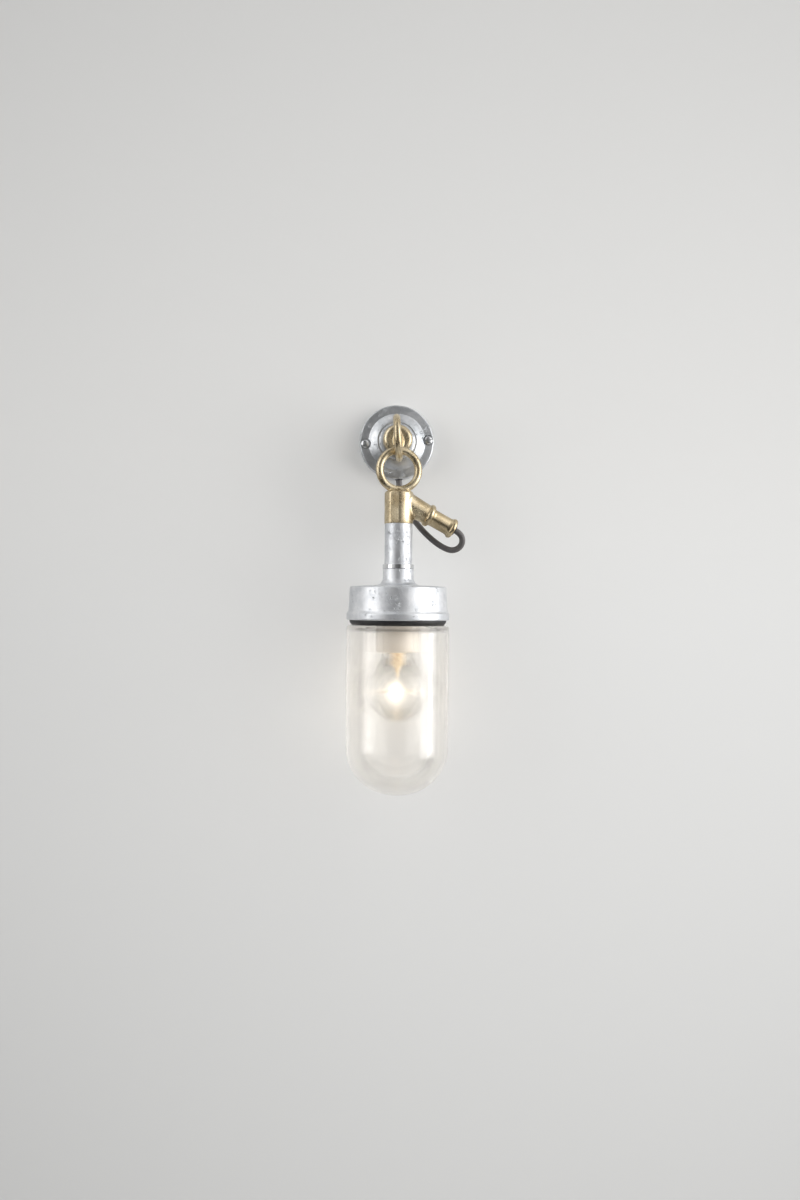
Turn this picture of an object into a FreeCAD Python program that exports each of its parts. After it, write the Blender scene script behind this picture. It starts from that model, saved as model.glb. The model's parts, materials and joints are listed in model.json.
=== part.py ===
import FreeCAD, Part

import math
import os

from FreeCAD import Placement, Rotation, Vector

# Well glass wall light. Lengths are millimetres and turns are degrees.
# The origin is the middle of the wall plate on the wall, Z is up and the room is on the -Y side.
# Heights are counted from the origin, so what hangs below it has a negative height.

# How the set hangs
wall_turn = 4.0
pendant_out = 55.0
branch_turn = 10.0
link_gap = 0.3

# Fits that more than one piece uses
thread_gap = 0.15
slip_gap = 0.1
overrun = 1.0

# Wall plate
plate_dia = 75.0
plate_depth = 12.0
plate_edge = 1.4
plate_wall = 3.2
rim_wall = 3.8
flange_fall = 0.6
dome_dia = 57.0
dome_depth = 20.0
dome_bulge = 1.1
hollow_crown_dia = 26.4
groove_dia = 37.0
groove_width = 1.6
groove_depth = 0.8

# Wall screws
screw_circle = 64.0
screw_shank_dia = 4.4
screw_thread_dia = 3.8
screw_hole_dia = 5.0
screw_thread_length = 22.0
screw_tip_length = 4.0
screw_head_dia = 8.4
screw_head_height = 2.6
screw_recess_dia = 10.4
screw_recess_depth = 1.2
slot_width = 1.2
slot_depth = 1.3

# Eye on the wall plate
eye_radius = 19.6
eye_wire_dia = 7.2
eye_drop = 2.5
eye_yaw = 4.0
eye_sink = 0.4
boss_dia = 29.4
boss_face_dia = 20.8
boss_shoulder = 5.6
foot_height = 18.0
foot_width = 12.0
foot_length = 4.4
shank_dia = 10.0
shank_end = 4.0
eye_washer_dia = 18.0
eye_washer_thick = 1.6
eye_nut_flats = 15.0
eye_nut_thick = 5.0

# Flex
flex_dia = 6.0
flex_exit_depth = 5.2
core_dia = 2.2
core_circle = 2.8
grommet_dia = 7.4
grommet_proud = 0.4
flex_tail_end = 29.6
flex_lead_out = 12.0
flex_lead_in = 5.2
core_lead = 1.6

# Terminal block behind the plate
terminal_width = 24.0
terminal_height = 9.0
terminal_depth = 7.0
terminal_drop = 17.0
terminal_pitch = 8.0
terminal_bore_dia = 3.0
terminal_screw_dia = 2.6
terminal_screw_length = 2.2
pillar_dia = 6.0
pillar_hole_dia = 2.6
pillar_reach = 8.4

# Ring and branch casting of the pendant
ring_radius = 19.2
ring_wire_dia = 7.5
pad_dia = 23.0
pad_rise = 2.0
body_dia = 27.8
body_top = -54.4
body_bottom = -86.0
body_shoulder = 2.6
body_flats = 26.4
flats_turn = 30.0
branch_root = -61.5
branch_drop = 27.5
branch_start = 7.0
branch_root_dia = 21.4
branch_tip_dia = 19.3
branch_blend = 3.0
collar_start = 31.2
collar_dia = 23.0
collar_end = 36.8
cavity_dia = 19.0
cavity_top = -58.0
branch_bore_dia = 9.0
gland_bore_dia = 14.0
gland_bore_start = 22.0

# Cable gland
gland_washer_thick = 1.0
gland_seal_length = 7.0
nut_root_dia = 17.6
nut_waist_dia = 16.6
nut_waist_run = 2.5
nut_lip_dia = 20.4
nut_lip_length = 4.6
nut_end = 62.3
nut_bore_dia = 8.6
boot_dia = 12.6
boot_seat = 7.0
boot_proud = 1.7
branch_tail_end = 15.0

# Stem and lock ring
stem_dia = 26.9
stem_bore_dia = 21.6
stem_bottom = -125.5
stem_spigot_dia = 24.0
stem_spigot_length = 12.0
stem_thread_dia = 26.4
lock_ring_dia = 30.6
lock_ring_height = 4.4
lock_ring_edge = 0.5

# Cap
cap_neck_dia = 30.0
cap_neck_bottom = -141.0
cap_flare = 6.0
cap_crown = -145.6
cap_top = -147.0
cap_top_dia = 93.6
cap_corner = 2.0
cap_skirt_dia = 95.8
cap_bead_top = -172.0
cap_bead_dia = 99.6
cap_bead_round = 1.2
cap_bottom = -179.4
cap_wall = 4.0
cap_floor = 4.2
cap_groove = 0.9
cap_flare_height = 3.6

# Well glass and its gasket
glass_dia = 100.0
glass_wall = 4.0
glass_neck_dia = 86.0
glass_neck_top = -166.0
glass_shoulder_round = 7.6
glass_straight_end = -302.0
glass_bottom = -347.7
glass_flat_dia = 24.0
gasket_dia = 94.0
gasket_thick = 4.8
gasket_bevel = 2.4
gasket_gap = 0.3

# Lampholder and its strap
strap_length = 66.0
strap_width = 14.0
strap_thick = 1.6
strap_boss_dia = 9.0
strap_boss_drop = 6.0
strap_end_margin = 7.0
strap_screw_dia = 4.0
strap_screw_head_dia = 7.0
strap_screw_head_height = 2.4
strap_screw_bite = 5.0
nipple_dia = 10.0
nipple_bore_dia = 7.0
nipple_length = 10.6
holder_nut_flats = 14.0
holder_nut_thick = 2.6
holder_dia = 42.6
holder_bottom = -210.4
holder_edge = 1.6
holder_mouth = 1.2
holder_roof = 7.6
contact_room_dia = 23.0
contact_room_height = 9.0
shell_bore_dia = 27.4
shell_wall = 0.7
shell_length = 22.0
contact_width = 5.0
contact_thick = 0.8
contact_length = 16.0
contact_pin_dia = 3.0
earth_screw_dia = 4.0
earth_screw_head_dia = 7.0
earth_screw_head_height = 2.2
earth_reach = 27.0

# Bulb
bulb_dia = 60.4
bulb_bottom = -277.4
bulb_neck_dia = 28.4
bulb_neck_blend = 30.0
bulb_wall = 0.8
bulb_cap_dia = 26.4
bulb_cap_wall = 0.6
bulb_cap_height = 24.0
bulb_cap_skirt = 2.2
bulb_insulator_height = 3.4
bulb_contact_dia = 9.6
bulb_contact_thick = 1.0
bulb_contact_gap = 0.3
flare_height = 12.0
press_dia = 8.0
press_bottom = -226.0
rod_dia = 2.6
rod_bottom = -238.0
lead_wire_dia = 0.7
lead_spread = 11.0
filament_height = -248.2
filament_dia = 1.0
filament_sag = 6.0
support_wire_dia = 0.6
support_count = 2

# Where a rounded outline passes, as shares of its width and its height
boss_curve_shares = (0.8, 0.35)
foot_tip_share = 0.67
pad_curve_shares = (0.7, 0.3)
screw_dome_shares = (0.75, 0.35)
screw_side_share = 0.3
boot_curve_shares = (0.25, 0.7)
crown_curve_share = 0.3
skirt_curve_shares = (0.3, 0.35)
flare_curve_shares = (0.25, 0.4)
corner_share = 1 - math.sqrt(0.5)

# Shares that place thin pieces and bends
bend_share = 0.45
support_spread_share = 0.45
support_reach_share = 0.72

# Stated directions, the turn of the plate and the lowest point of the eye's wire
up = Vector(0, 0, 1)
centre = Vector(0, 0, 0)
face_room = Placement(centre, Rotation(Vector(1, 0, 0), 90))
turn_on_wall = Placement(centre, Rotation(Vector(0, 1, 0), -wall_turn))
eye_reach = eye_radius + eye_sink
eye_lean = eye_reach * math.tan(math.radians(eye_yaw))
pivot = turn_on_wall.multVec(Vector(-eye_lean, -pendant_out, -eye_drop - eye_radius))

# Sizes that follow from those above
boss_front = pendant_out - eye_reach
ring_z = pivot.z + eye_wire_dia / 2 + link_gap + ring_wire_dia / 2 - ring_radius
plate_radius = plate_dia / 2
plate_ceiling = plate_depth - plate_wall
dome_ceiling = dome_depth - plate_wall
neck_top = stem_bottom - lock_ring_height
roof_z = cap_top - cap_floor
strap_top = roof_z - strap_boss_drop
strap_bottom = strap_top - strap_thick
strap_screw_spacing = strap_length - 2 * strap_end_margin
gasket_top = cap_bottom
shoulder_z = gasket_top - gasket_thick
holder_ceiling = strap_bottom - holder_roof
shell_top = holder_ceiling - contact_room_height
contact_z = holder_ceiling - contact_room_height / 2
bulb_top = contact_z - contact_thick - bulb_contact_gap
bulb_shell_top = bulb_top - bulb_contact_thick - bulb_insulator_height
bulb_neck_top = bulb_shell_top - bulb_cap_height
mouth = nut_end + boot_proud

# Where the pendant and its branch are placed
hang = Placement(Vector(pivot.x, pivot.y, 0), Rotation(up, branch_turn))
along_branch = Placement(Vector(0, 0, branch_root), Rotation(Vector(0, 1, 0), 90 + branch_drop))


def outline(start, *steps):
    """A closed outline in the XZ plane. A step is a point, or two points for an arc through and to."""
    edges = []
    here = Vector(start[0], 0, start[1])
    for step in steps + (start,):
        if isinstance(step[0], tuple):
            through, to = (Vector(p[0], 0, p[1]) for p in step)
            edges.append(Part.Arc(here, through, to).toShape())
        else:
            to = Vector(step[0], 0, step[1])
            if to.distanceToPoint(here) == 0:
                continue
            edges.append(Part.LineSegment(here, to).toShape())
        here = to
    return Part.Face(Part.Wire(edges))


def lathe(start, *steps):
    """A solid turned about the Z axis from an outline of radii and heights."""
    return outline(start, *steps).revolve(centre, up, 360)


def rod(dia, low, high):
    """A round bar on the Z axis between two heights."""
    return Part.makeCylinder(dia / 2, high - low, Vector(0, 0, low))


def pipe(dia, bore, low, high):
    """A round tube on the Z axis between two heights."""
    return rod(dia, low, high).cut(rod(bore, low - overrun, high + overrun))


def hexagon(flats, low, high):
    """A six-sided bar on the Z axis between two heights."""
    reach = flats / 2 / math.cos(math.radians(30))
    corners = [
        Vector(reach * math.cos(math.radians(a)), reach * math.sin(math.radians(a)), low)
        for a in range(0, 361, 60)
    ]
    return Part.Face(Part.makePolygon(corners)).extrude(Vector(0, 0, high - low))


def block(width, depth, low, high, x=0.0, y=0.0):
    """A rectangular bar centred on a point of the XY plane between two heights."""
    return Part.makeBox(width, depth, high - low, Vector(x - width / 2, y - depth / 2, low))


def moved(shape, *placements):
    """A copy of a shape with each placement applied in turn."""
    placed = shape.copy()
    for place in placements:
        placed.Placement = place.multiply(placed.Placement)
    return placed


def shifted(shape, x, y, z):
    """A copy of a shape moved by three lengths."""
    return moved(shape, Placement(Vector(x, y, z), Rotation()))


def on_circle(radius, degrees, height, centre_height):
    """A point of an outline on a circle about a point at that radius and height."""
    a = math.radians(degrees)
    return (centre_height[0] + radius * math.cos(a), centre_height[1] + height * math.sin(a))


def bend_radius(before, corner, after):
    """The largest arc that the two runs at a corner allow, and the turn there in radians."""
    first = corner - before
    second = after - corner
    turn = first.getAngle(second)
    shorter = min(first.Length, second.Length)
    return bend_share * shorter / math.tan(turn / 2), turn


def path_of(points):
    """A wire of straight runs joined by tangent arcs through a list of points."""
    edges = []
    here = points[0]
    for before, corner, after in zip(points, points[1:], points[2:]):
        radius, turn = bend_radius(before, corner, after)
        reach = radius * math.tan(turn / 2)
        back = (before - corner).normalize()
        ahead = (after - corner).normalize()
        inward = (back + ahead).normalize()
        middle = corner + inward * (radius / math.cos(turn / 2) - radius)
        edges.append(Part.LineSegment(here, corner + back * reach).toShape())
        edges.append(Part.Arc(corner + back * reach, middle, corner + ahead * reach).toShape())
        here = corner + ahead * reach
    edges.append(Part.LineSegment(here, points[-1]).toShape())
    return Part.Wire(edges)


def tube_along(points, dia):
    """A round bar swept along straight runs and tangent arcs."""
    path = path_of(points)
    start = Part.Circle(points[0], points[1] - points[0], dia / 2)
    return path.makePipeShell([Part.Wire(start.toShape())], True, False)


def write(name, *solids):
    """Write one sub-part as a STEP file."""
    shape = solids[0] if len(solids) == 1 else Part.makeCompound(solids)
    shape.exportStep(os.path.join("parts", name + ".step"))
    sizes = shape.BoundBox
    print(f"{name}: {len(shape.Solids)} solid(s), valid {shape.isValid()}, volume {shape.Volume:.1f},"
          f" Z {sizes.ZMin:.1f} to {sizes.ZMax:.1f}")


def to_wall(*solids):
    """Turn solids drawn with Z pointing into the room onto the wall."""
    return [moved(s, face_room, turn_on_wall) for s in solids]


def to_hang(*solids):
    """Hang solids drawn about the pendant's own axis in their place."""
    return [moved(s, hang) for s in solids]


def to_branch(*solids):
    """Place solids drawn about the branch's own axis on the hanging casting."""
    return [moved(s, along_branch, hang) for s in solids]


def wall_point(x, height, depth):
    """A point behind or in front of the wall plate, turned with it."""
    return turn_on_wall.multVec(Vector(x, -depth, height))


def branch_point(x, y, reach):
    """A point in the frame of the branch, where reach runs along its axis."""
    return hang.multVec(along_branch.multVec(Vector(x, y, reach)))


def core_offsets():
    """Where the three cores lie round the middle of the flex."""
    r = core_circle / 2
    angles = [math.radians(a) for a in (90, 210, 330)]
    return [(r * math.cos(a), r * math.sin(a)) for a in angles]


def on_dome(radius, depth=0.0):
    """A point of the outline of the plate's dome at a radius, or that far under its face."""
    foot = Vector(dome_dia / 2, plate_depth, 0)
    seat = Vector(boss_dia / 2, dome_depth, 0)
    rise = math.atan2(seat.y - foot.y, foot.x - seat.x)
    crest = (foot + seat) * 0.5 + Vector(math.sin(rise), math.cos(rise), 0) * dome_bulge
    face = Part.Arc(foot, crest, seat).toShape().Curve
    degrees = math.degrees(math.acos((radius - face.Center.x) / face.Radius))
    reach = face.Radius - depth
    return on_circle(reach, degrees, reach, (face.Center.x, face.Center.y))


def make_wall_plate():
    """The cast plate: a flange, a ringed dome, a hollow back and its holes."""
    r = plate_radius
    dome = dome_dia / 2
    seat = boss_dia / 2
    lip = plate_depth - flange_fall
    bevel = plate_edge * corner_share
    groove_out = (groove_dia + groove_width) / 2
    groove_in = (groove_dia - groove_width) / 2
    plate = lathe(
        (0, 0), (r, 0), (r, lip - plate_edge), ((r - bevel, lip - bevel), (r - plate_edge, lip)),
        (dome, plate_depth), (on_dome((dome + groove_out) / 2), on_dome(groove_out)),
        (on_dome(groove_dia / 2, groove_depth), on_dome(groove_in)),
        (on_dome((groove_in + seat) / 2), (seat, dome_depth)), (0, dome_depth),
    )
    cavity = lathe(
        (0, -overrun), (r - rim_wall, -overrun), (r - rim_wall, plate_ceiling),
        (dome - plate_wall, plate_ceiling), (hollow_crown_dia / 2, dome_ceiling), (0, dome_ceiling),
    )
    plate = plate.cut(cavity)
    for side in (-1, 1):
        x = side * screw_circle / 2
        pillar = rod(screw_hole_dia + 2 * plate_wall, 0, plate_ceiling)
        plate = plate.fuse(shifted(pillar, x, 0, 0).common(rod(plate_dia, 0, plate_ceiling)))
        plate = plate.cut(shifted(rod(screw_hole_dia, -overrun, dome_depth), x, 0, 0))
        plate = plate.cut(
            shifted(rod(screw_recess_dia, plate_depth - screw_recess_depth, dome_depth + overrun), x, 0, 0)
        )
    plate = plate.cut(rod(shank_dia + 2 * thread_gap, -overrun, dome_depth + overrun))
    pillar = rod(pillar_dia, pillar_reach, dome_ceiling + overrun / 2)
    pillar = pillar.cut(rod(pillar_hole_dia, pillar_reach - overrun, dome_ceiling - overrun))
    plate = plate.fuse(shifted(pillar, 0, -terminal_drop, 0))
    hole = Part.makeCylinder(
        grommet_dia / 2 + slip_gap, rim_wall + 2 * overrun,
        Vector(0, -r - overrun, flex_exit_depth), Vector(0, 1, 0),
    )
    return plate.cut(hole).removeSplitter()


def make_wall_eye():
    """The brass boss with its eye, and the shank that holds it to the plate."""
    ledge = boss_front - boss_shoulder
    boss_r = boss_dia / 2
    face_r = boss_face_dia / 2
    wide, high = boss_curve_shares
    knee = (face_r + wide * (boss_r - face_r), boss_front - high * boss_shoulder)
    boss = lathe(
        (0, dome_depth), (boss_r, dome_depth), (boss_r, ledge),
        (knee, (face_r, boss_front)), (0, boss_front),
    )
    shank = rod(shank_dia, shank_end, dome_depth + overrun)
    eye_out = eye_reach / math.cos(math.radians(eye_yaw))
    eye = Part.makeTorus(eye_radius, eye_wire_dia / 2, Vector(0, 0, eye_out), Vector(1, 0, 0))
    root = Part.Ellipse(Vector(0, 0, -overrun), foot_height / 2, foot_width / 2)
    root.rotate(Placement(centre, up, 90))
    tip_height = foot_tip_share * foot_height
    tip = Part.Ellipse(Vector(0, 0, foot_length), tip_height / 2, eye_wire_dia / 2 - slip_gap)
    tip.rotate(Placement(centre, up, 90))
    foot = Part.makeLoft([Part.Wire(root.toShape()), Part.Wire(tip.toShape())], True)
    lean = Placement(Vector(0, -eye_drop, boss_front), Rotation(Vector(0, 1, 0), -eye_yaw))
    return boss.fuse([shank, moved(eye, lean), moved(foot, lean)]).removeSplitter()


def make_eye_fixings():
    """The washer and the nut that pull the eye's shank against the back of the plate."""
    washer_low = dome_ceiling - eye_washer_thick
    washer = pipe(eye_washer_dia, shank_dia + 2 * thread_gap, washer_low, dome_ceiling)
    nut = hexagon(eye_nut_flats, washer_low - eye_nut_thick, washer_low)
    bore = rod(shank_dia + 2 * thread_gap, washer_low - eye_nut_thick - overrun, washer_low + overrun)
    return washer, nut.cut(bore)


def make_wall_screw():
    """One wall screw: a domed slotted head, a plain shank and a pointed end in the wall."""
    seat = plate_depth - screw_recess_depth
    head_r = screw_head_dia / 2
    top = seat + screw_head_height
    shank_r = screw_shank_dia / 2
    thread_r = screw_thread_dia / 2
    tip = screw_thread_length - screw_tip_length
    wide, high = screw_dome_shares
    side = seat + screw_side_share * screw_head_height
    screw = lathe(
        (0, top),
        ((head_r * wide, top - high * screw_head_height), (head_r, side)),
        (head_r, seat), (shank_r, seat), (shank_r, 0), (thread_r, 0), (thread_r, -tip),
        (0, -screw_thread_length),
    )
    return screw.cut(block(slot_width, screw_head_dia, top - slot_depth, top + overrun))


def make_terminal_block():
    """The three-way terminal block on its pillar, with a bore and a screw hole for each way."""
    low = pillar_reach - terminal_depth
    block_shape = block(terminal_width, terminal_height, low, pillar_reach, 0, -terminal_drop)
    middle = low + terminal_depth / 2
    screws = []
    for way in (-1, 0, 1):
        x = way * terminal_pitch
        bore = Part.makeCylinder(
            terminal_bore_dia / 2, terminal_height + 2 * overrun,
            Vector(x, -terminal_drop - terminal_height / 2 - overrun, middle), Vector(0, 1, 0),
        )
        hole = shifted(rod(terminal_screw_dia + 2 * slip_gap, low - overrun, middle), x, -terminal_drop, 0)
        block_shape = block_shape.cut([bore, hole])
        screw = rod(terminal_screw_dia, low, low + terminal_screw_length)
        screw = screw.cut(block(slot_width / 2, terminal_screw_dia, low - overrun, low + slot_depth / 2))
        screws.append(shifted(screw, x, -terminal_drop, 0))
    return block_shape.removeSplitter(), screws


def make_branch_casting():
    """The brass casting: ring, pad, body with two flats, and the bored side branch with its collar."""
    body_r = body_dia / 2
    round_off = body_shoulder * corner_share
    body = lathe(
        (0, body_bottom), (body_r, body_bottom), (body_r, body_top - body_shoulder),
        ((body_r - round_off, body_top - round_off), (body_r - body_shoulder, body_top)), (0, body_top),
    )
    tip_r = branch_tip_dia / 2
    branch = moved(lathe(
        (0, branch_start), (branch_root_dia / 2, branch_start), (tip_r, collar_start), (0, collar_start),
    ), along_branch)
    casting = body.fuse(branch).removeSplitter()
    seam = [e for e in casting.Edges if not isinstance(e.Curve, (Part.Line, Part.Circle))]
    casting = casting.makeFillet(branch_blend, seam)
    flat_width = math.sqrt(body_dia ** 2 - body_flats ** 2) + overrun
    for side in (-1, 1):
        spare = block(flat_width, body_dia, body_bottom - overrun, body_top + overrun, 0,
                      side * (body_flats + body_dia) / 2)
        casting = casting.cut(moved(spare, Placement(centre, Rotation(up, -flats_turn))))
    collar_r = collar_dia / 2
    middle = (collar_start + collar_end) / 2
    collar = moved(lathe(
        (0, collar_start - overrun), (tip_r - slip_gap, collar_start - overrun), (tip_r, collar_start),
        ((collar_r, middle), (tip_r, collar_end)), (0, collar_end),
    ), along_branch)
    ring = Part.makeTorus(ring_radius, ring_wire_dia / 2, Vector(0, 0, ring_z), Vector(0, 1, 0))
    pad_r = pad_dia / 2
    wide, high = pad_curve_shares
    pad = lathe(
        (0, body_top - overrun), (pad_r, body_top - overrun), (pad_r, body_top),
        ((pad_r - wide * pad_rise, body_top + high * pad_rise), (pad_r - pad_rise, body_top + pad_rise)),
        (0, body_top + pad_rise),
    )
    casting = casting.fuse([collar, ring, pad])
    cavity = rod(cavity_dia, body_bottom - overrun, cavity_top)
    seat = rod(stem_spigot_dia + 2 * thread_gap, body_bottom - overrun, body_bottom + stem_spigot_length)
    bore = moved(rod(branch_bore_dia, 0, collar_end + overrun), along_branch)
    gland = moved(rod(gland_bore_dia, gland_bore_start, collar_end + overrun), along_branch)
    return casting.cut([cavity, seat, bore, gland]).removeSplitter()


def make_gland():
    """The cable gland along the branch: nut, two washers, seal and the soft boot in the nut's mouth."""
    seal_start = gland_bore_start + gland_washer_thick
    seal_end = seal_start + gland_seal_length
    nut_start = seal_end + gland_washer_thick
    inside = gland_bore_dia - 2 * thread_gap
    flex_bore = flex_dia + 2 * slip_gap
    washers = [
        pipe(inside, flex_bore + overrun, gland_bore_start, seal_start),
        pipe(inside, flex_bore + overrun, seal_end, nut_start),
    ]
    seal = pipe(inside, flex_bore, seal_start, seal_end)
    lip_start = nut_end - nut_lip_length
    lip_r = nut_lip_dia / 2
    waist_r = nut_waist_dia / 2
    nut = lathe(
        (0, nut_start), (inside / 2, nut_start), (inside / 2, collar_end), (nut_root_dia / 2, collar_end),
        (waist_r, collar_end + nut_waist_run), (waist_r, lip_start - nut_waist_run),
        (nut_root_dia / 2, lip_start),
        ((lip_r, (lip_start + nut_end) / 2), (nut_root_dia / 2, nut_end)), (0, nut_end),
    )
    boot_start = nut_end - boot_seat
    nut = nut.cut([
        rod(nut_bore_dia, nut_start - overrun, nut_end),
        rod(boot_dia + 2 * slip_gap, boot_start, nut_end + overrun),
    ])
    boot_r = boot_dia / 2
    wide, high = boot_curve_shares
    boot = lathe(
        (flex_bore / 2, boot_start), (boot_r, boot_start), (boot_r, nut_end),
        ((boot_r - wide * boot_proud, nut_end + high * boot_proud), (boot_r - boot_proud, mouth)),
        (flex_bore / 2, mouth),
    )
    return nut, washers, seal, boot


def make_stem():
    """The stem tube with a spigot for the casting at its top and a thread for the cap at its bottom."""
    half = stem_dia / 2
    spigot = stem_spigot_dia / 2
    thread = stem_thread_dia / 2
    thread_end = cap_crown
    bore = stem_bore_dia / 2
    return lathe(
        (bore, thread_end), (thread, thread_end), (thread, stem_bottom), (half, stem_bottom),
        (half, body_bottom), (spigot, body_bottom), (spigot, body_bottom + stem_spigot_length - slip_gap),
        (bore, body_bottom + stem_spigot_length - slip_gap),
    )


def make_lock_ring():
    """The round lock ring on the stem's thread, bearing on the cap's neck."""
    bore = stem_thread_dia / 2 + thread_gap
    outer = lock_ring_dia / 2
    high = stem_bottom
    low = neck_top
    return lathe(
        (bore, low), (outer - lock_ring_edge, low), (outer, low + lock_ring_edge),
        (outer, high - lock_ring_edge), (outer - lock_ring_edge, high), (bore, high),
    )


def make_cap():
    """The cast cap: neck, flared crown, skirt with a beaded rim, and a roof with three bosses inside."""
    neck = cap_neck_dia / 2
    top_r = cap_top_dia / 2
    skirt = cap_skirt_dia / 2
    bead = cap_bead_dia / 2
    inner = glass_neck_dia / 2 + thread_gap * 2
    bore = stem_thread_dia / 2 + thread_gap
    round_off = cap_corner * corner_share
    bead_off = cap_bead_round * corner_share
    flare = (neck + crown_curve_share * cap_flare,
             cap_crown + crown_curve_share * (cap_neck_bottom - cap_crown))
    hollow = cap_flare_height - cap_groove
    wide, high = skirt_curve_shares
    flare_knee = (skirt + wide * cap_groove, cap_bead_top + cap_groove + high * hollow)
    cap = lathe(
        (bore, neck_top), (neck, neck_top), (neck, cap_neck_bottom),
        (flare, (neck + cap_flare, cap_crown)),
        (top_r - cap_corner, cap_top),
        ((top_r - round_off, cap_top - round_off), (top_r, cap_top - cap_corner)),
        (skirt, cap_bead_top + cap_flare_height),
        (flare_knee, (skirt + cap_groove, cap_bead_top + cap_groove)),
        (skirt + cap_groove, cap_bead_top),
        (bead - cap_bead_round, cap_bead_top),
        ((bead - bead_off, cap_bead_top - bead_off), (bead, cap_bead_top - cap_bead_round)),
        (bead, cap_bottom + cap_bead_round),
        ((bead - bead_off, cap_bottom + bead_off), (bead - cap_bead_round, cap_bottom)),
        (inner, cap_bottom), (inner, roof_z + cap_corner - cap_wall / 2), (inner - cap_wall / 2, roof_z),
        (stem_bore_dia / 2, roof_z), (stem_bore_dia / 2, cap_crown), (bore, cap_crown),
    )
    strap_boss = rod(strap_boss_dia, strap_top, roof_z + overrun)
    strap_boss = strap_boss.cut(rod(strap_screw_dia + 2 * thread_gap, strap_top - overrun, roof_z))
    bosses = [shifted(strap_boss, side * strap_screw_spacing / 2, 0, 0) for side in (-1, 1)]
    earth_boss = rod(strap_boss_dia, strap_top, roof_z + overrun)
    earth_boss = earth_boss.cut(rod(earth_screw_dia + 2 * thread_gap, strap_top - overrun, roof_z))
    bosses.append(shifted(earth_boss, 0, earth_reach, 0))
    return cap.fuse(bosses).removeSplitter()


def make_strap_set():
    """The strap under the cap's roof, its screws, and the nipple and nut that carry the lampholder."""
    strap = block(strap_length, strap_width, strap_bottom, strap_top)
    strap = strap.common(rod(strap_length, strap_bottom, strap_top))
    holes = [rod(nipple_dia + 2 * thread_gap, strap_bottom - overrun, strap_top + overrun)]
    screws = []
    shank_top = strap_top + strap_screw_bite
    head_low = strap_bottom - strap_screw_head_height
    for side in (-1, 1):
        x = side * strap_screw_spacing / 2
        hole = rod(strap_screw_dia + 2 * slip_gap, strap_bottom - overrun, strap_top + overrun)
        holes.append(shifted(hole, x, 0, 0))
        screw = rod(strap_screw_dia, strap_bottom, shank_top).fuse(
            rod(strap_screw_head_dia, head_low, strap_bottom)
        )
        screw = screw.cut(block(slot_width, strap_screw_head_dia, head_low - overrun, head_low + slot_depth))
        screws.append(shifted(screw.removeSplitter(), x, 0, 0))
    nipple_top = strap_top + holder_nut_thick + slip_gap
    nipple = pipe(nipple_dia, nipple_bore_dia, nipple_top - nipple_length, nipple_top)
    nut = hexagon(holder_nut_flats, strap_top, strap_top + holder_nut_thick)
    bore = rod(nipple_dia + 2 * thread_gap, strap_top - overrun, nipple_top + overrun)
    return strap.cut(holes), screws, nipple, nut.cut(bore)


def make_lampholder():
    """The porcelain lampholder, its screw shell and its centre contact."""
    r = holder_dia / 2
    edge = holder_edge * corner_share
    shell_r = shell_bore_dia / 2 + shell_wall
    pocket = shell_r + slip_gap
    bore = nipple_dia / 2 + thread_gap
    body = lathe(
        (bore, strap_bottom), (r - holder_edge, strap_bottom),
        ((r - edge, strap_bottom - edge), (r, strap_bottom - holder_edge)),
        (r, holder_bottom + holder_edge),
        ((r - edge, holder_bottom + edge), (r - holder_edge, holder_bottom)),
        (pocket + holder_mouth, holder_bottom), (pocket, holder_bottom + 2 * holder_mouth),
        (pocket, shell_top), (contact_room_dia / 2, shell_top),
        (contact_room_dia / 2, holder_ceiling), (bore, holder_ceiling),
    )
    shell = pipe(2 * shell_r, shell_bore_dia, shell_top - shell_length, shell_top)
    blade_end = math.sqrt((contact_room_dia / 2) ** 2 - (contact_width / 2) ** 2) - slip_gap
    blade = block(contact_length, contact_width, contact_z - contact_thick, contact_z,
                  blade_end - contact_length / 2)
    pin = rod(contact_pin_dia, contact_z - contact_thick / 2, holder_ceiling)
    pin = shifted(pin, contact_room_dia / 2 - contact_pin_dia, 0, 0)
    return body, shell, blade.fuse(pin).removeSplitter()


def make_earth_screw():
    """The screw that holds the earth core's bare end under the cap's roof."""
    head_low = strap_top - earth_screw_head_height
    screw = rod(earth_screw_dia, strap_top, strap_top + strap_screw_bite)
    screw = screw.fuse(rod(earth_screw_head_dia, head_low, strap_top))
    screw = screw.cut(block(slot_width, earth_screw_head_dia, head_low - overrun, head_low + slot_depth))
    return shifted(screw.removeSplitter(), 0, earth_reach, 0)


def make_gasket():
    """The rubber gasket round the glass's neck, bevelled at its lower edge."""
    bore = glass_neck_dia / 2 + gasket_gap
    outer = gasket_dia / 2
    return lathe(
        (bore, shoulder_z), (outer - gasket_bevel, shoulder_z), (outer, shoulder_z + gasket_bevel),
        (outer, gasket_top), (bore, gasket_top),
    )


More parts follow.
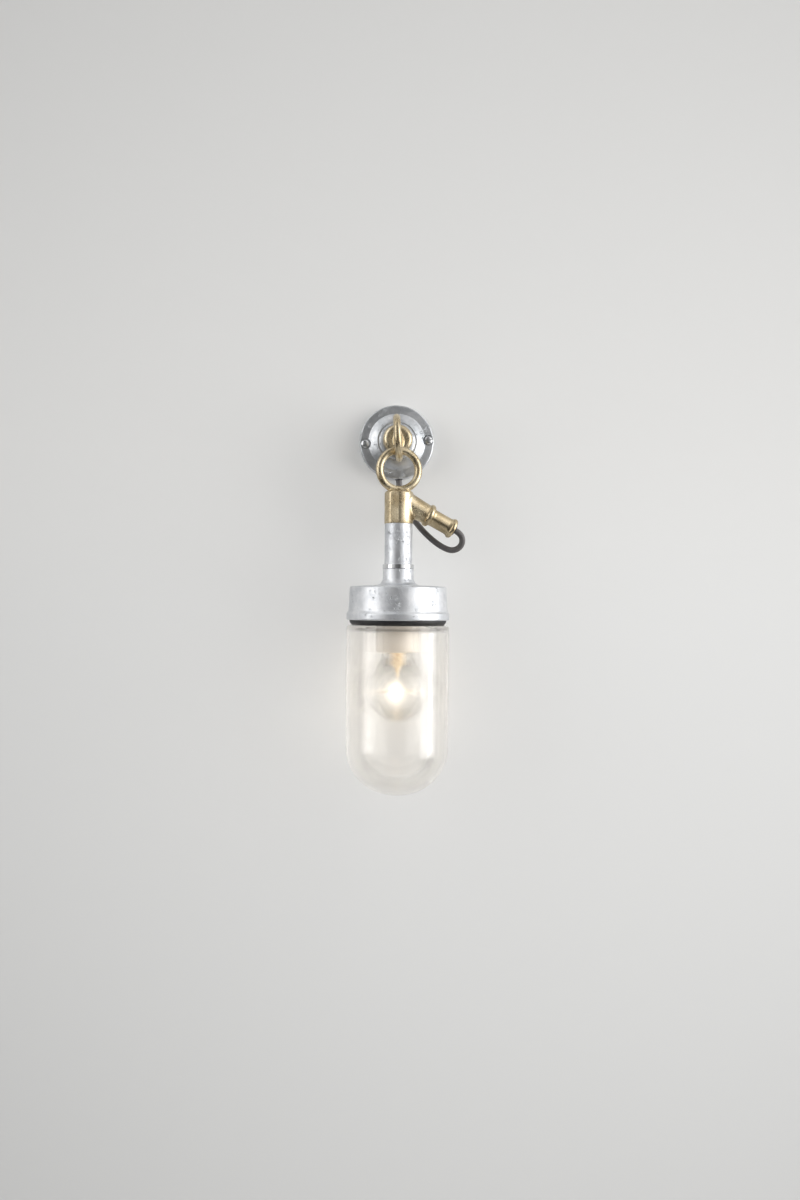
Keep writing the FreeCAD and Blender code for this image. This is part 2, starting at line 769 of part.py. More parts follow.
def make_well_glass():
    """The well glass: a plain neck in the cap, a round shoulder, straight sides and a domed bottom."""
    r = glass_dia / 2
    flat = glass_flat_dia / 2
    drop = glass_straight_end - glass_bottom
    dome = ((r - flat) ** 2 + drop ** 2) / (2 * (r - flat))
    middle = (r - dome, glass_straight_end)
    neck = glass_neck_dia / 2
    turn = glass_shoulder_round
    inner_dome = dome - glass_wall
    inner_r = r - glass_wall
    inner_bottom = glass_bottom + glass_wall
    inner_flat = middle[0] + math.sqrt(inner_dome ** 2 - (inner_bottom - glass_straight_end) ** 2)
    inner_neck = neck - glass_wall
    inner_turn = glass_shoulder_round - glass_wall / 2
    shoulder_low = shoulder_z - turn
    return lathe(
        (inner_neck, glass_neck_top), (neck, glass_neck_top), (neck, shoulder_z),
        (r - turn, shoulder_z),
        (on_circle(turn, 45, turn, (r - turn, shoulder_low)), (r, shoulder_low)),
        (r, glass_straight_end),
        (on_circle(dome, -45, dome, middle), (flat, glass_bottom)),
        (0, glass_bottom), (0, inner_bottom), (inner_flat, inner_bottom),
        (on_circle(inner_dome, -45, inner_dome, middle), (inner_r, glass_straight_end)),
        (inner_r, shoulder_low - glass_wall),
        (on_circle(inner_turn, 40, inner_turn, (inner_r - inner_turn, shoulder_low - glass_wall)),
         (inner_neck, shoulder_z - glass_wall)),
    )


def bulb_outline(inset):
    """The bulb's glass as arcs, moved inwards by a wall: neck, blend and ball."""
    ball = bulb_dia / 2
    ball_z = bulb_bottom + ball
    neck = bulb_neck_dia / 2
    rise = math.sqrt((ball + bulb_neck_blend) ** 2 - (neck + bulb_neck_blend) ** 2)
    blend_z = ball_z + rise
    share = (ball - inset) / (ball + bulb_neck_blend)
    joint = ((neck + bulb_neck_blend) * share, ball_z + rise * share)
    tangent = math.degrees(math.atan2(joint[1] - blend_z, joint[0] - neck - bulb_neck_blend))
    halfway = on_circle(bulb_neck_blend + inset, (tangent - 180) / 2, bulb_neck_blend + inset,
                        (neck + bulb_neck_blend, blend_z))
    equator = on_circle(ball - inset, -20, ball - inset, (0, ball_z))
    return neck - inset, blend_z, halfway, joint, equator, (0, bulb_bottom + inset)


def make_bulb_glass():
    """The bulb's thin clear envelope, open at its neck inside the cap."""
    neck, blend_z, halfway, joint, equator, bottom = bulb_outline(0)
    neck_in, blend_in, halfway_in, joint_in, equator_in, bottom_in = bulb_outline(bulb_wall)
    return lathe(
        (neck_in, bulb_neck_top), (neck, bulb_neck_top), (neck, blend_z),
        (halfway, joint), (equator, bottom), bottom_in,
        (equator_in, joint_in), (halfway_in, (neck_in, blend_in)),
    )


def make_bulb_base():
    """The bulb's screw cap with its insulator, and its centre contact."""
    r = bulb_cap_dia / 2
    contact = bulb_contact_dia / 2
    neck = bulb_neck_dia / 2
    skirt_z = bulb_neck_top + bulb_cap_skirt
    inside = r - bulb_cap_wall
    cap = lathe(
        (neck - bulb_cap_wall, bulb_neck_top), (neck, bulb_neck_top), (r, skirt_z), (r, bulb_shell_top),
        (contact, bulb_top - bulb_contact_thick),
        (0, bulb_top - bulb_contact_thick), (0, bulb_top - bulb_contact_thick - bulb_cap_wall),
        (contact - bulb_cap_wall, bulb_top - bulb_contact_thick - bulb_cap_wall),
        (inside, bulb_shell_top - bulb_cap_wall), (inside, skirt_z),
    )
    return cap, rod(bulb_contact_dia, bulb_top - bulb_contact_thick, bulb_top)


def make_bulb_mount():
    """The glass stem inside the bulb with its leads, supports and filament."""
    flare = bulb_neck_dia / 2 - bulb_wall - slip_gap
    press = press_dia / 2
    thin = rod_dia / 2
    flare_low = bulb_neck_top - flare_height
    wide, high = flare_curve_shares
    stem = lathe(
        (0, bulb_neck_top - bulb_wall), (flare, bulb_neck_top - bulb_wall),
        ((press + wide * (flare - press), flare_low + high * flare_height), (press, flare_low)),
        (press, press_bottom), (thin, press_bottom - press), (thin, rod_bottom), (0, rod_bottom),
    )
    leads = []
    lead_x = press + lead_wire_dia / 2 + slip_gap
    half_lead = lead_wire_dia / 2
    for side in (-1, 1):
        points = [
            Vector(side * lead_x, 0, flare_low - overrun),
            Vector(side * lead_x, 0, press_bottom - press / 2),
            Vector(side * lead_spread, 0, filament_height + filament_sag),
            Vector(side * lead_spread, 0, filament_height + filament_dia / 2),
        ]
        leads.append(tube_along(points, lead_wire_dia))
    start = Vector(-lead_spread - half_lead, 0, filament_height)
    end = Vector(lead_spread + half_lead, 0, filament_height)
    bow = Part.Arc(start, Vector(0, filament_sag, filament_height), end).toShape()
    ring = Part.Circle(start, bow.tangentAt(bow.FirstParameter), filament_dia / 2)
    filament = Part.Wire(bow).makePipeShell([Part.Wire(ring.toShape())], True, False)
    supports = []
    for i in range(support_count):
        side = 2 * i - 1
        spread = support_spread_share * lead_spread
        reach = support_reach_share * filament_sag
        points = [
            Vector(side * (thin + support_wire_dia / 2 + slip_gap), 0, rod_bottom + overrun),
            Vector(side * (thin + support_wire_dia), 0, rod_bottom - overrun),
            Vector(side * spread, reach, filament_height + filament_dia + support_wire_dia),
        ]
        supports.append(tube_along(points, support_wire_dia))
    return stem, leads, filament, supports


def flex_route():
    """The free flex from the plate's rim to the gland's mouth: its ends, and the points between by hand."""
    start = wall_point(0, -plate_radius - grommet_proud, flex_exit_depth)
    end = branch_point(0, 0, mouth)
    first = wall_point(0, -plate_radius - grommet_proud - flex_lead_out, flex_exit_depth)
    last = branch_point(0, 0, mouth + flex_lead_in)
    between = [
        (8.5, -15.5, -64.5),
        (16.5, -25.5, -79.5),
        (27.8, -32.0, -93.7),
        (40.2, -36.5, -104.7),
        (51.5, -39.0, -110.7),
        (58.9, -40.6, -109.7),
        (63.4, -42.0, -105.2),
        (64.1, -43.2, -98.9),
    ]
    return [start, first] + [Vector(*p) for p in between] + [last, end]


def make_flex():
    """The free stretch of the flex, with its radii and its length printed."""
    points = flex_route()
    tube = tube_along(points, flex_dia)
    length = path_of(points).Length
    section = math.pi * flex_dia ** 2 / 4
    print("flex radii", [round(bend_radius(*p)[0], 1) for p in zip(points, points[1:], points[2:])])
    print("flex length", round(length, 2), "volume over section times length",
          round(tube.Volume / (section * length), 5))
    print("flex route", [tuple(round(v, 2) for v in p) for p in points])
    return tube


def make_wall_wiring():
    """The flex's tail behind the plate and the three cores that run from it to the terminals."""
    outer = wall_point(0, -plate_radius - grommet_proud, flex_exit_depth)
    inner = wall_point(0, -flex_tail_end, flex_exit_depth)
    tail = Part.makeCylinder(flex_dia / 2, (inner - outer).Length, outer, inner - outer)
    inside = -terminal_drop - terminal_height / 2
    middle = pillar_reach - terminal_depth / 2
    cores = []
    for (dx, dz), way in zip(core_offsets(), (0, -1, 1)):
        x = way * terminal_pitch
        points = [
            wall_point(dx, -flex_tail_end, flex_exit_depth + dz),
            wall_point(dx, -flex_tail_end + core_lead, flex_exit_depth + dz),
            wall_point(x, inside - core_lead, middle),
            wall_point(x, inside + terminal_height / 4, middle),
        ]
        cores.append(tube_along(points, core_dia))
    return tail, cores


def make_pendant_wiring():
    """The flex's tail in the branch and the three cores that run down the stem to the lampholder."""
    outer = branch_point(0, 0, mouth)
    inner = branch_point(0, 0, branch_tail_end)
    tail = Part.makeCylinder(flex_dia / 2, (inner - outer).Length, outer, inner - outer)
    entry_z = holder_ceiling - core_dia / 2
    contact_x = contact_room_dia / 4
    earth_end = earth_reach - earth_screw_head_dia / 2 - core_dia / 4
    drop = math.radians(branch_drop)
    cores = []
    for way, (across, out) in enumerate(core_offsets()):
        x = -out
        reach = x * (1 + math.sin(drop)) / math.cos(drop)
        points = [along_branch.multVec(Vector(x, across, branch_tail_end)),
                  along_branch.multVec(Vector(x, across, reach))]
        if way == 0:
            points.append(Vector(x, across, roof_z + core_dia))
            points.append(Vector(x - core_lead, earth_reach / 2, strap_top + core_dia))
            points.append(Vector(0, earth_end, strap_top - earth_screw_head_height / 2 - 2 * thread_gap))
        else:
            side = 1 if way == 1 else -1
            points.append(Vector(x, across, entry_z))
            points.append(Vector(side * contact_x, across, entry_z - core_dia))
        cores.append(moved(tube_along(points, core_dia), hang))
    return tail, cores


def main():
    """Build every sub-part and write it."""
    os.makedirs("parts", exist_ok=True)

    write("wall_plate", *to_wall(make_wall_plate()))
    write("wall_eye", *to_wall(make_wall_eye()))
    washer, nut = make_eye_fixings()
    write("eye_washer", *to_wall(washer))
    write("eye_nut", *to_wall(nut))
    screws = [shifted(make_wall_screw(), side * screw_circle / 2, 0, 0) for side in (-1, 1)]
    write("wall_screws", *to_wall(*screws))
    terminal, terminal_screws = make_terminal_block()
    write("terminal_block", *to_wall(terminal))
    write("terminal_screws", *to_wall(*terminal_screws))
    rim = -plate_radius
    grommet = pipe(grommet_dia, flex_dia + 2 * slip_gap, rim - grommet_proud, rim + rim_wall)
    along_flex = Placement(Vector(0, -flex_exit_depth, 0), Rotation())
    write("flex_grommet", moved(grommet, along_flex, turn_on_wall))
    wall_tail, wall_cores = make_wall_wiring()
    write("wall_flex_tail", wall_tail)
    for name, core in zip(("wall_earth_core", "wall_neutral_core", "wall_live_core"), wall_cores):
        write(name, core)
    write("flex", make_flex())

    write("branch_casting", *to_hang(make_branch_casting()))
    gland_nut, gland_washers, gland_seal, gland_boot = make_gland()
    write("gland_nut", *to_branch(gland_nut))
    write("gland_washers", *to_branch(*gland_washers))
    write("gland_seal", *to_branch(gland_seal))
    write("gland_boot", *to_branch(gland_boot))
    branch_tail, cores = make_pendant_wiring()
    write("branch_flex_tail", branch_tail)
    for name, core in zip(("earth_core", "neutral_core", "live_core"), cores):
        write(name, core)
    write("stem_tube", *to_hang(make_stem()))
    write("lock_ring", *to_hang(make_lock_ring()))
    write("cap", *to_hang(make_cap()))
    strap, strap_screws, nipple, holder_nut = make_strap_set()
    write("holder_strap", *to_hang(strap))
    write("strap_screws", *to_hang(*strap_screws))
    write("holder_nipple", *to_hang(nipple))
    write("holder_nut", *to_hang(holder_nut))
    holder, shell, contact = make_lampholder()
    write("lampholder", *to_hang(holder))
    write("screw_shell", *to_hang(shell))
    write("centre_contact", *to_hang(contact))
    write("earth_screw", *to_hang(make_earth_screw()))

    write("gasket", *to_hang(make_gasket()))
    write("well_glass", *to_hang(make_well_glass()))

    write("bulb_glass", *to_hang(make_bulb_glass()))
    bulb_cap, bulb_contact = make_bulb_base()
    write("bulb_cap", *to_hang(bulb_cap))
    write("bulb_contact", *to_hang(bulb_contact))
    stem, leads, filament, supports = make_bulb_mount()
    write("bulb_stem", *to_hang(stem))
    write("bulb_leads", *to_hang(*leads))
    write("filament", *to_hang(filament))
    write("bulb_supports", *to_hang(*supports))

    print("pivot", tuple(round(v, 3) for v in pivot))
    print("gland mouth", tuple(round(v, 3) for v in branch_point(0, 0, mouth)))


main()
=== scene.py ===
import json
import logging
import math
from collections.abc import Callable, Sequence
from dataclasses import dataclass, field
from enum import Enum
from functools import cache

import bpy
from mathutils import Matrix, Vector

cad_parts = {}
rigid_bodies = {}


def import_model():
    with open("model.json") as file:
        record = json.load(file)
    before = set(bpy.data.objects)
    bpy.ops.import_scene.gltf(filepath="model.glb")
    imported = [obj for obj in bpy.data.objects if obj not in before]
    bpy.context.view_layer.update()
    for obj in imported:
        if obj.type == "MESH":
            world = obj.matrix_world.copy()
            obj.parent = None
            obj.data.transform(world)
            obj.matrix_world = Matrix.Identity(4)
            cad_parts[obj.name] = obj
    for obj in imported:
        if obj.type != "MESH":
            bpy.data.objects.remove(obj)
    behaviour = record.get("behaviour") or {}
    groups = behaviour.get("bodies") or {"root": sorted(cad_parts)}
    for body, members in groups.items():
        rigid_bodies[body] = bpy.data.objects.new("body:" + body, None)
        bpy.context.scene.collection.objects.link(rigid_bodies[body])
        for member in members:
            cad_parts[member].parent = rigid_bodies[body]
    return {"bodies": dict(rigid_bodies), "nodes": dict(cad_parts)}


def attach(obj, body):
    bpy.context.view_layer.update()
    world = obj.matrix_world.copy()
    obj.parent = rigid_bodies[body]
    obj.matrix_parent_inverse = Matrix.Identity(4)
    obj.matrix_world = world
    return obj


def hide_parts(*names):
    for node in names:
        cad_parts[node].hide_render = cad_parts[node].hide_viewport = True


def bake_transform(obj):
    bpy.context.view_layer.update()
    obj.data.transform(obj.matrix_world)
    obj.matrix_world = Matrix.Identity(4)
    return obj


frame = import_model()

# Looks of the well glass wall light. Lengths are metres and turns are degrees.
# The origin is the middle of the wall plate on the wall, Z is up and the room is on the -Y side.

log = logging.getLogger("well_glass_light")

Point = tuple[float, float]
Span = tuple[float, float]
Corner = tuple[float, float, float]
Spot = tuple[float, float, float]
Colour = tuple[float, float, float]
Socket = bpy.types.NodeSocket
Node = bpy.types.Node
Tree = bpy.types.NodeTree
Material = bpy.types.Material
Piece = bpy.types.Object

SPIN_STEPS = 144
MERGE_GAP = 2e-6
SHEET = 0.0003
GLASS_INDEX = 1.47


class Axis(Enum):
    """An axis of a piece, as the operators name it."""

    X = "X"
    Y = "Y"
    Z = "Z"


@dataclass(frozen=True)
class Site:
    """Where the three groups of pieces stand: on the wall, on the hanging axis and along the branch."""

    wall_turn: float = 4.0
    out: float = 0.055
    branch_turn: float = 10.0
    branch_root: float = -0.0615
    branch_drop: float = 27.5
    side: float = 0.000146

    def wall(self) -> Matrix:
        """Places a piece drawn with Z pointing into the room on the turned wall plate."""
        return turned(-self.wall_turn, Axis.Y) @ turned(90, Axis.X)

    def hang(self) -> Matrix:
        """Places a piece drawn about the Z axis on the pendant's own axis."""
        return Matrix.Translation((self.side, -self.out, 0)) @ turned(self.branch_turn, Axis.Z)

    def branch(self) -> Matrix:
        """Places a piece drawn about the Z axis along the branch of the casting."""
        root = Matrix.Translation((0, 0, self.branch_root))
        return self.hang() @ root @ turned(90 + self.branch_drop, Axis.Y)


def turned(degrees: float, axis: Axis) -> Matrix:
    """Gives a turn about an axis."""
    return Matrix.Rotation(math.radians(degrees), 4, axis.value)


def rounded(corners: Sequence[Corner], steps: int = 6, closed: bool = False) -> list[Point]:
    """Rounds the corners of an outline of radii and heights.

    Args:
        corners: Each corner's radius from the axis, its height and the radius it is rounded to.
        steps: How many straight pieces stand for one rounding.
        closed: Whether the outline runs back to its first corner.

    Returns:
        The outline's points, without a repeat of the first one.
    """
    points = []
    count = len(corners)
    for index, (x, z, size) in enumerate(corners):
        if size == 0 or not closed and index in (0, count - 1):
            points.append((x, z))
            continue
        here = Vector((x, z))
        before = Vector(corners[index - 1][:2]) - here
        after = Vector(corners[(index + 1) % count][:2]) - here
        half = before.angle(after) / 2
        reach = min(size / math.tan(half), 0.49 * before.length, 0.49 * after.length)
        size = reach * math.tan(half)
        start = here + before.normalized() * reach
        stop = here + after.normalized() * reach
        middle = here + (before.normalized() + after.normalized()).normalized() * (size / math.sin(half))
        swing = (start - middle).angle_signed(stop - middle)
        for step in range(steps + 1):
            points.append(tuple(middle + Matrix.Rotation(-swing * step / steps, 2) @ (start - middle)))
    return points


def arc(centre: Point, radius: float, start: float, stop: float, steps: int) -> list[Point]:
    """Gives the points of an arc in the plane of radii and heights, both ends among them.

    Args:
        centre: The arc's centre.
        radius: The arc's radius.
        start: The first angle in degrees, where 0 points away from the axis.
        stop: The last angle in degrees.
        steps: How many straight pieces the arc has.

    Returns:
        The arc's points.
    """
    angles = [math.radians(start + (stop - start) * i / steps) for i in range(steps + 1)]
    return [(centre[0] + radius * math.cos(a), centre[1] + radius * math.sin(a)) for a in angles]


def shown(name: str, data: bpy.types.ID) -> Piece:
    """Adds an object to the scene for a mesh, a curve, a light or a camera."""
    thing = bpy.data.objects.new(name, data)
    bpy.context.scene.collection.objects.link(thing)
    return thing


def clear() -> None:
    """Selects nothing."""
    bpy.ops.object.select_all(action="DESELECT")


def pick(piece: Piece) -> None:
    """Makes one piece the only one selected and the active one."""
    clear()
    piece.select_set(True)
    bpy.context.view_layer.objects.active = piece


def heal() -> None:
    """Merges the active piece's doubles, points its faces outwards and leaves edit mode."""
    bpy.ops.object.mode_set(mode="EDIT")
    bpy.ops.mesh.select_all(action="SELECT")
    bpy.ops.mesh.remove_doubles(threshold=MERGE_GAP)
    bpy.ops.mesh.dissolve_degenerate(threshold=MERGE_GAP)
    bpy.ops.mesh.normals_make_consistent(inside=False)
    bpy.ops.object.mode_set(mode="OBJECT")


def settled(name: str) -> Piece:
    """Names the new active piece and puts its place and size into its mesh."""
    piece = bpy.context.object
    piece.name = name
    bpy.ops.object.transform_apply(location=True, rotation=True, scale=True)
    return piece


def placed(piece: Piece, place: Matrix) -> Piece:
    """Moves a piece and puts the move into its mesh."""
    pick(piece)
    piece.matrix_world = place
    return settled(piece.name)


def apply(piece: Piece, kind: str, **settings: object) -> None:
    """Adds one modifier to a piece and applies it.

    Args:
        piece: The piece.
        kind: The modifier's type.
        **settings: The modifier's own settings.
    """
    pick(piece)
    modifier = piece.modifiers.new(kind.title(), kind)
    for key, value in settings.items():
        setattr(modifier, key, value)
    bpy.ops.object.modifier_apply(modifier=modifier.name)


def joined(name: str, pieces: Sequence[Piece]) -> Piece:
    """Joins pieces into one mesh and names it."""
    pick(pieces[0])
    for piece in pieces:
        piece.select_set(True)
    bpy.ops.object.join()
    pieces[0].name = name
    return pieces[0]


def drawn(name: str, start: Point, moves: Sequence[Point]) -> Piece:
    """Draws a line in the plane of radii and heights and stays in edit mode.

    Args:
        name: The new piece's name.
        start: The line's first point.
        moves: Each further point's shift from the one before.

    Returns:
        The piece with the line.
    """
    clear()
    bpy.ops.mesh.primitive_plane_add(size=MERGE_GAP)
    piece = bpy.context.object
    piece.name = name
    bpy.ops.object.mode_set(mode="EDIT")
    bpy.ops.mesh.merge(type="CENTER")
    bpy.ops.transform.translate(value=(start[0], 0, start[1]))
    for x, z in moves:
        bpy.ops.mesh.extrude_vertices_move(TRANSFORM_OT_translate={"value": (x, 0, z)})
    return piece


def spun(name: str, outline: Sequence[Point], closed: bool = False, steps: int = SPIN_STEPS) -> Piece:
    """Turns an outline about the Z axis, as on a lathe.

    Args:
        name: The new piece's name.
        outline: Radii and heights, in order.
        closed: Whether the outline runs back to its first point, as a tube's does.
        steps: How many facets go round the axis.

    Returns:
        The turned piece.
    """
    stops = [*outline, outline[0]] if closed else outline
    moves = [(b[0] - a[0], b[1] - a[1]) for a, b in zip(stops, stops[1:])]
    piece = drawn(name, outline[0], moves)
    bpy.ops.mesh.select_all(action="SELECT")
    bpy.ops.mesh.spin(steps=steps, angle=2 * math.pi, center=(0, 0, 0), axis=(0, 0, 1))
    heal()
    return piece


def hollow(name: str, corners: Sequence[Corner], place: Matrix, steps: int = SPIN_STEPS,
           easing: int = 6) -> Piece:
    """Turns an outline that runs back to its start, with its corners rounded, and places it.

    Args:
        name: The new piece's name.
        corners: The outline's corners, as rounded() takes them.
        place: Where the piece's axis goes.
        steps: How many facets go round the axis.
        easing: How many straight pieces stand for one rounding.

    Returns:
        The turned piece.
    """
    return placed(spun(name, rounded(corners, easing, True), True, steps), place)


def slotted(piece: Piece, size: Spot, middle: Spot) -> None:
    """Cuts a block's form out of a piece.

    Args:
        piece: The piece.
        size: The block's length along each axis.
        middle: The block's middle.
    """
    clear()
    bpy.ops.mesh.primitive_cube_add(size=1, location=middle, scale=size)
    tool = settled("slot_tool")
    apply(piece, "BOOLEAN", object=tool, operation="DIFFERENCE", solver="EXACT")
    bpy.data.objects.remove(tool)


def wound(piece: Piece, pitch: float, turns: int, steps: int, **settings: bool) -> None:
    """Winds a piece about the Z axis, as a thread is.

    Args:
        piece: The section that is wound.
        pitch: How far it climbs in one turn.
        turns: How many turns it has.
        steps: How many pieces one turn has.
        **settings: More settings of the modifier.
    """
    apply(piece, "SCREW", axis=Axis.Z.value, angle=2 * math.pi, screw_offset=pitch, iterations=turns,
          steps=steps, render_steps=steps, use_merge_vertices=True, **settings)


def ridge(name: str, radius: float, low: float, pitch: float, turns: int, height: float, sides: int = 6,
          steps: int = 48) -> Piece:
    """Winds one thread ridge, or a coil, about the Z axis.

    Args:
        name: The new piece's name.
        radius: The radius of the core that the ridge stands on.
        low: Where the ridge starts.
        pitch: How far it climbs in one turn.
        turns: How many turns it has.
        height: How far it stands out.
        sides: How many faces go round its section.
        steps: How many pieces one turn has.

    Returns:
        The closed ridge.
    """
    clear()
    bpy.ops.mesh.primitive_circle_add(vertices=sides, radius=height, location=(radius, 0, low),
                                      rotation=(math.radians(90), 0, 0))
    piece = settled(name)
    wound(piece, pitch, turns, steps)
    bpy.ops.object.mode_set(mode="EDIT")
    bpy.ops.mesh.select_all(action="DESELECT")
    bpy.ops.mesh.select_non_manifold()
    bpy.ops.mesh.fill_holes(sides=0)
    heal()
    return piece


def threaded(name: str, radius: float, low: float, pitch: float, turns: int, depth: float) -> Piece:
    """Winds one wave of a rounded thread into a shell.

    Args:
        name: The new piece's name.
        radius: The shell's outer radius.
        low: Its lower end.
        pitch: The thread's pitch.
        turns: How many turns it has.
        depth: How deep the wave is.

    Returns:
        The open shell, without a wall.
    """
    waves, steps = 10, 72
    sinks = [-depth * (1 - math.cos(2 * math.pi * step / waves)) / 2 for step in range(waves + 1)]
    moves = [(after - before, pitch / waves) for before, after in zip(sinks, sinks[1:])]
    shell = drawn(name, (radius, low), moves)
    bpy.ops.object.mode_set(mode="OBJECT")
    wound(shell, pitch, turns - 1, steps, use_normal_calculate=True)
    heal()
    return shell


class NodeBoard:
    """Adds nodes to one tree and links them."""

    def __init__(self, tree: Tree) -> None:
        """Starts on an empty tree."""
        self.tree = tree
        tree.nodes.clear()

    def add(self, kind: str, inputs: dict[str | int, object] | None = None, **settings: object) -> Node:
        """Adds a node.

        Args:
            kind: The node's type.
            inputs: Values or other nodes' outputs for its sockets, by name or number.
            **settings: The node's own settings.

        Returns:
            The new node.
        """
        node = self.tree.nodes.new(kind)
        for key, value in settings.items():
            setattr(node, key, value)
        for key, value in (inputs or {}).items():
            socket = node.inputs[key]
            if isinstance(value, Socket):
                self.tree.links.new(value, socket)
            elif isinstance(value, tuple) and len(value) == 3 and socket.type == "RGBA":
                socket.default_value = (*value, 1)
            else:
                socket.default_value = value
        return node

    def ranged(self, value: Socket, *limits: float) -> Socket:
        """Maps a value from one range to another, or to 0 and 1, and keeps it inside."""
        return self.add("ShaderNodeMapRange", dict(enumerate((value, *limits)))).outputs["Result"]

    def mixed(self, share: object, first: object, second: object) -> Socket:
        """Mixes two colours by a share."""
        return self.add("ShaderNodeMix", {0: share, 6: first, 7: second}, data_type="RGBA").outputs[2]

    def sum(self, first: object, second: object, operation: str = "ADD") -> Socket:
        """Joins two values by a sum or another operation."""
        return self.add("ShaderNodeMath", {0: first, 1: second}, operation=operation).outputs[0]

    def times(self, first: object, second: object) -> Socket:
        """Multiplies two values."""
        return self.sum(first, second, "MULTIPLY")

    def vectors(self, first: object, second: object, operation: str = "ADD") -> Node:
        """Joins two vectors by a sum or another operation."""
        return self.add("ShaderNodeVectorMath", {0: first, 1: second}, operation=operation)

    def noise(self, vector: Socket, scale: object, detail: float = 2.0, **inputs: object) -> Node:
        """Adds a noise of a scale and a detail."""
        return self.add("ShaderNodeTexNoise", {"Vector": vector, "Scale": scale, "Detail": detail, **inputs})

    def warped(self, vector: Socket, scale: object, pull: float) -> Socket:
        """Shifts a vector by a noise, so that what reads it has ragged edges."""
        shift = self.vectors(self.noise(vector, scale).outputs["Color"], (pull,) * 3, "MULTIPLY")
        return self.vectors(vector, shift.outputs[0]).outputs[0]

    def blended(self, share: object, first: Node, second: Node) -> Node:
        """Mixes two shaders by a share."""
        return self.add("ShaderNodeMixShader", {0: share, 1: first.outputs[0], 2: second.outputs[0]})


def shared(inputs: dict[str, float], outputs: Sequence[str]) -> Callable:
    """Makes an effect that several finishes share, as a node group that is built once.

    Args:
        inputs: The group's inputs after the vector, with their values.
        outputs: Its outputs, all of them values.

    Returns:
        What turns the function that adds the nodes into one that gives the group's tree.
    """
    def wrapped(build: Callable) -> Callable[[], Tree]:
        @cache
        def tree() -> Tree:
            made = bpy.data.node_groups.new(build.__name__, "ShaderNodeTree")
            board = NodeBoard(made)
            made.interface.new_socket(name="Vector", in_out="INPUT", socket_type="NodeSocketVector")
            for key, value in inputs.items():
                socket = made.interface.new_socket(name=key, in_out="INPUT", socket_type="NodeSocketFloat")
                socket.default_value = value
            for key in outputs:
                made.interface.new_socket(name=key, in_out="OUTPUT", socket_type="NodeSocketFloat")
            entry = board.add("NodeGroupInput")
            sockets = build(board, *(entry.outputs[key] for key in ("Vector", *inputs)))
            board.add("NodeGroupOutput", dict(zip(outputs, sockets)))
            return made
        return tree
    return wrapped


@shared({"Grain": 900.0, "Pit": 420.0}, ("Height", "Cloud", "Pits", "Fleck"))
def cast_skin(board: NodeBoard, vector: Socket, grain: Socket, pit: Socket) -> Sequence[Socket]:
    """Adds the grain, clouds and pits of a sand-cast surface."""
    fine = board.noise(vector, grain, 6.0, Roughness=0.62).outputs["Fac"]
    broad = board.noise(vector, board.times(grain, 0.09), 4.0).outputs["Fac"]
    cells = board.add("ShaderNodeTexVoronoi", {"Vector": board.warped(vector, grain, 0.006), "Scale": pit,
                                               "Randomness": 1.0})
    holes = board.ranged(cells.outputs["Distance"], 0.12, 0.30, 1.0, 0.0)
    pits = board.times(holes, board.ranged(broad, 0.47, 0.57))
    height = board.sum(board.times(fine, 0.55), pits, "SUBTRACT")
    return height, broad, pits, fine


@shared({"Scale": 240.0}, ("Tone",))
def spangle(board: NodeBoard, vector: Socket, scale: Socket) -> Sequence[Socket]:
    """Adds the patches of zinc crystal on a galvanised surface."""
    cells = board.add("ShaderNodeTexVoronoi", {"Vector": board.warped(vector, 160.0, 0.004), "Scale": scale})
    return board.add("ShaderNodeSeparateColor", {0: cells.outputs["Color"]}).outputs[:1]


@shared({"Scale": 2600.0}, ("Lines",))
def turned_lines(board: NodeBoard, vector: Socket, scale: Socket) -> Sequence[Socket]:
    """Adds the fine rings left by turning about the Z axis."""
    height = board.add("ShaderNodeSeparateXYZ", {0: vector}).outputs["Z"]
    lines = board.add("ShaderNodeTexNoise", {"W": height, "Scale": scale, "Detail": 3.0},
                      noise_dimensions="1D")
    return (lines.outputs["Fac"],)


@shared({"Scale": 34.0}, ("Mask",))
def scratches(board: NodeBoard, vector: Socket, scale: Socket) -> Sequence[Socket]:
    """Adds short thin scratches in all directions."""
    bands = board.add("ShaderNodeTexWave", {"Vector": board.noise(vector, 90.0).outputs["Color"],
                                            "Scale": scale, "Distortion": 3.0})
    where = board.ranged(board.noise(vector, 55.0).outputs["Fac"], 0.54, 0.62)
    return (board.times(board.ranged(bands.outputs["Fac"], 0.985, 1.0), where),)


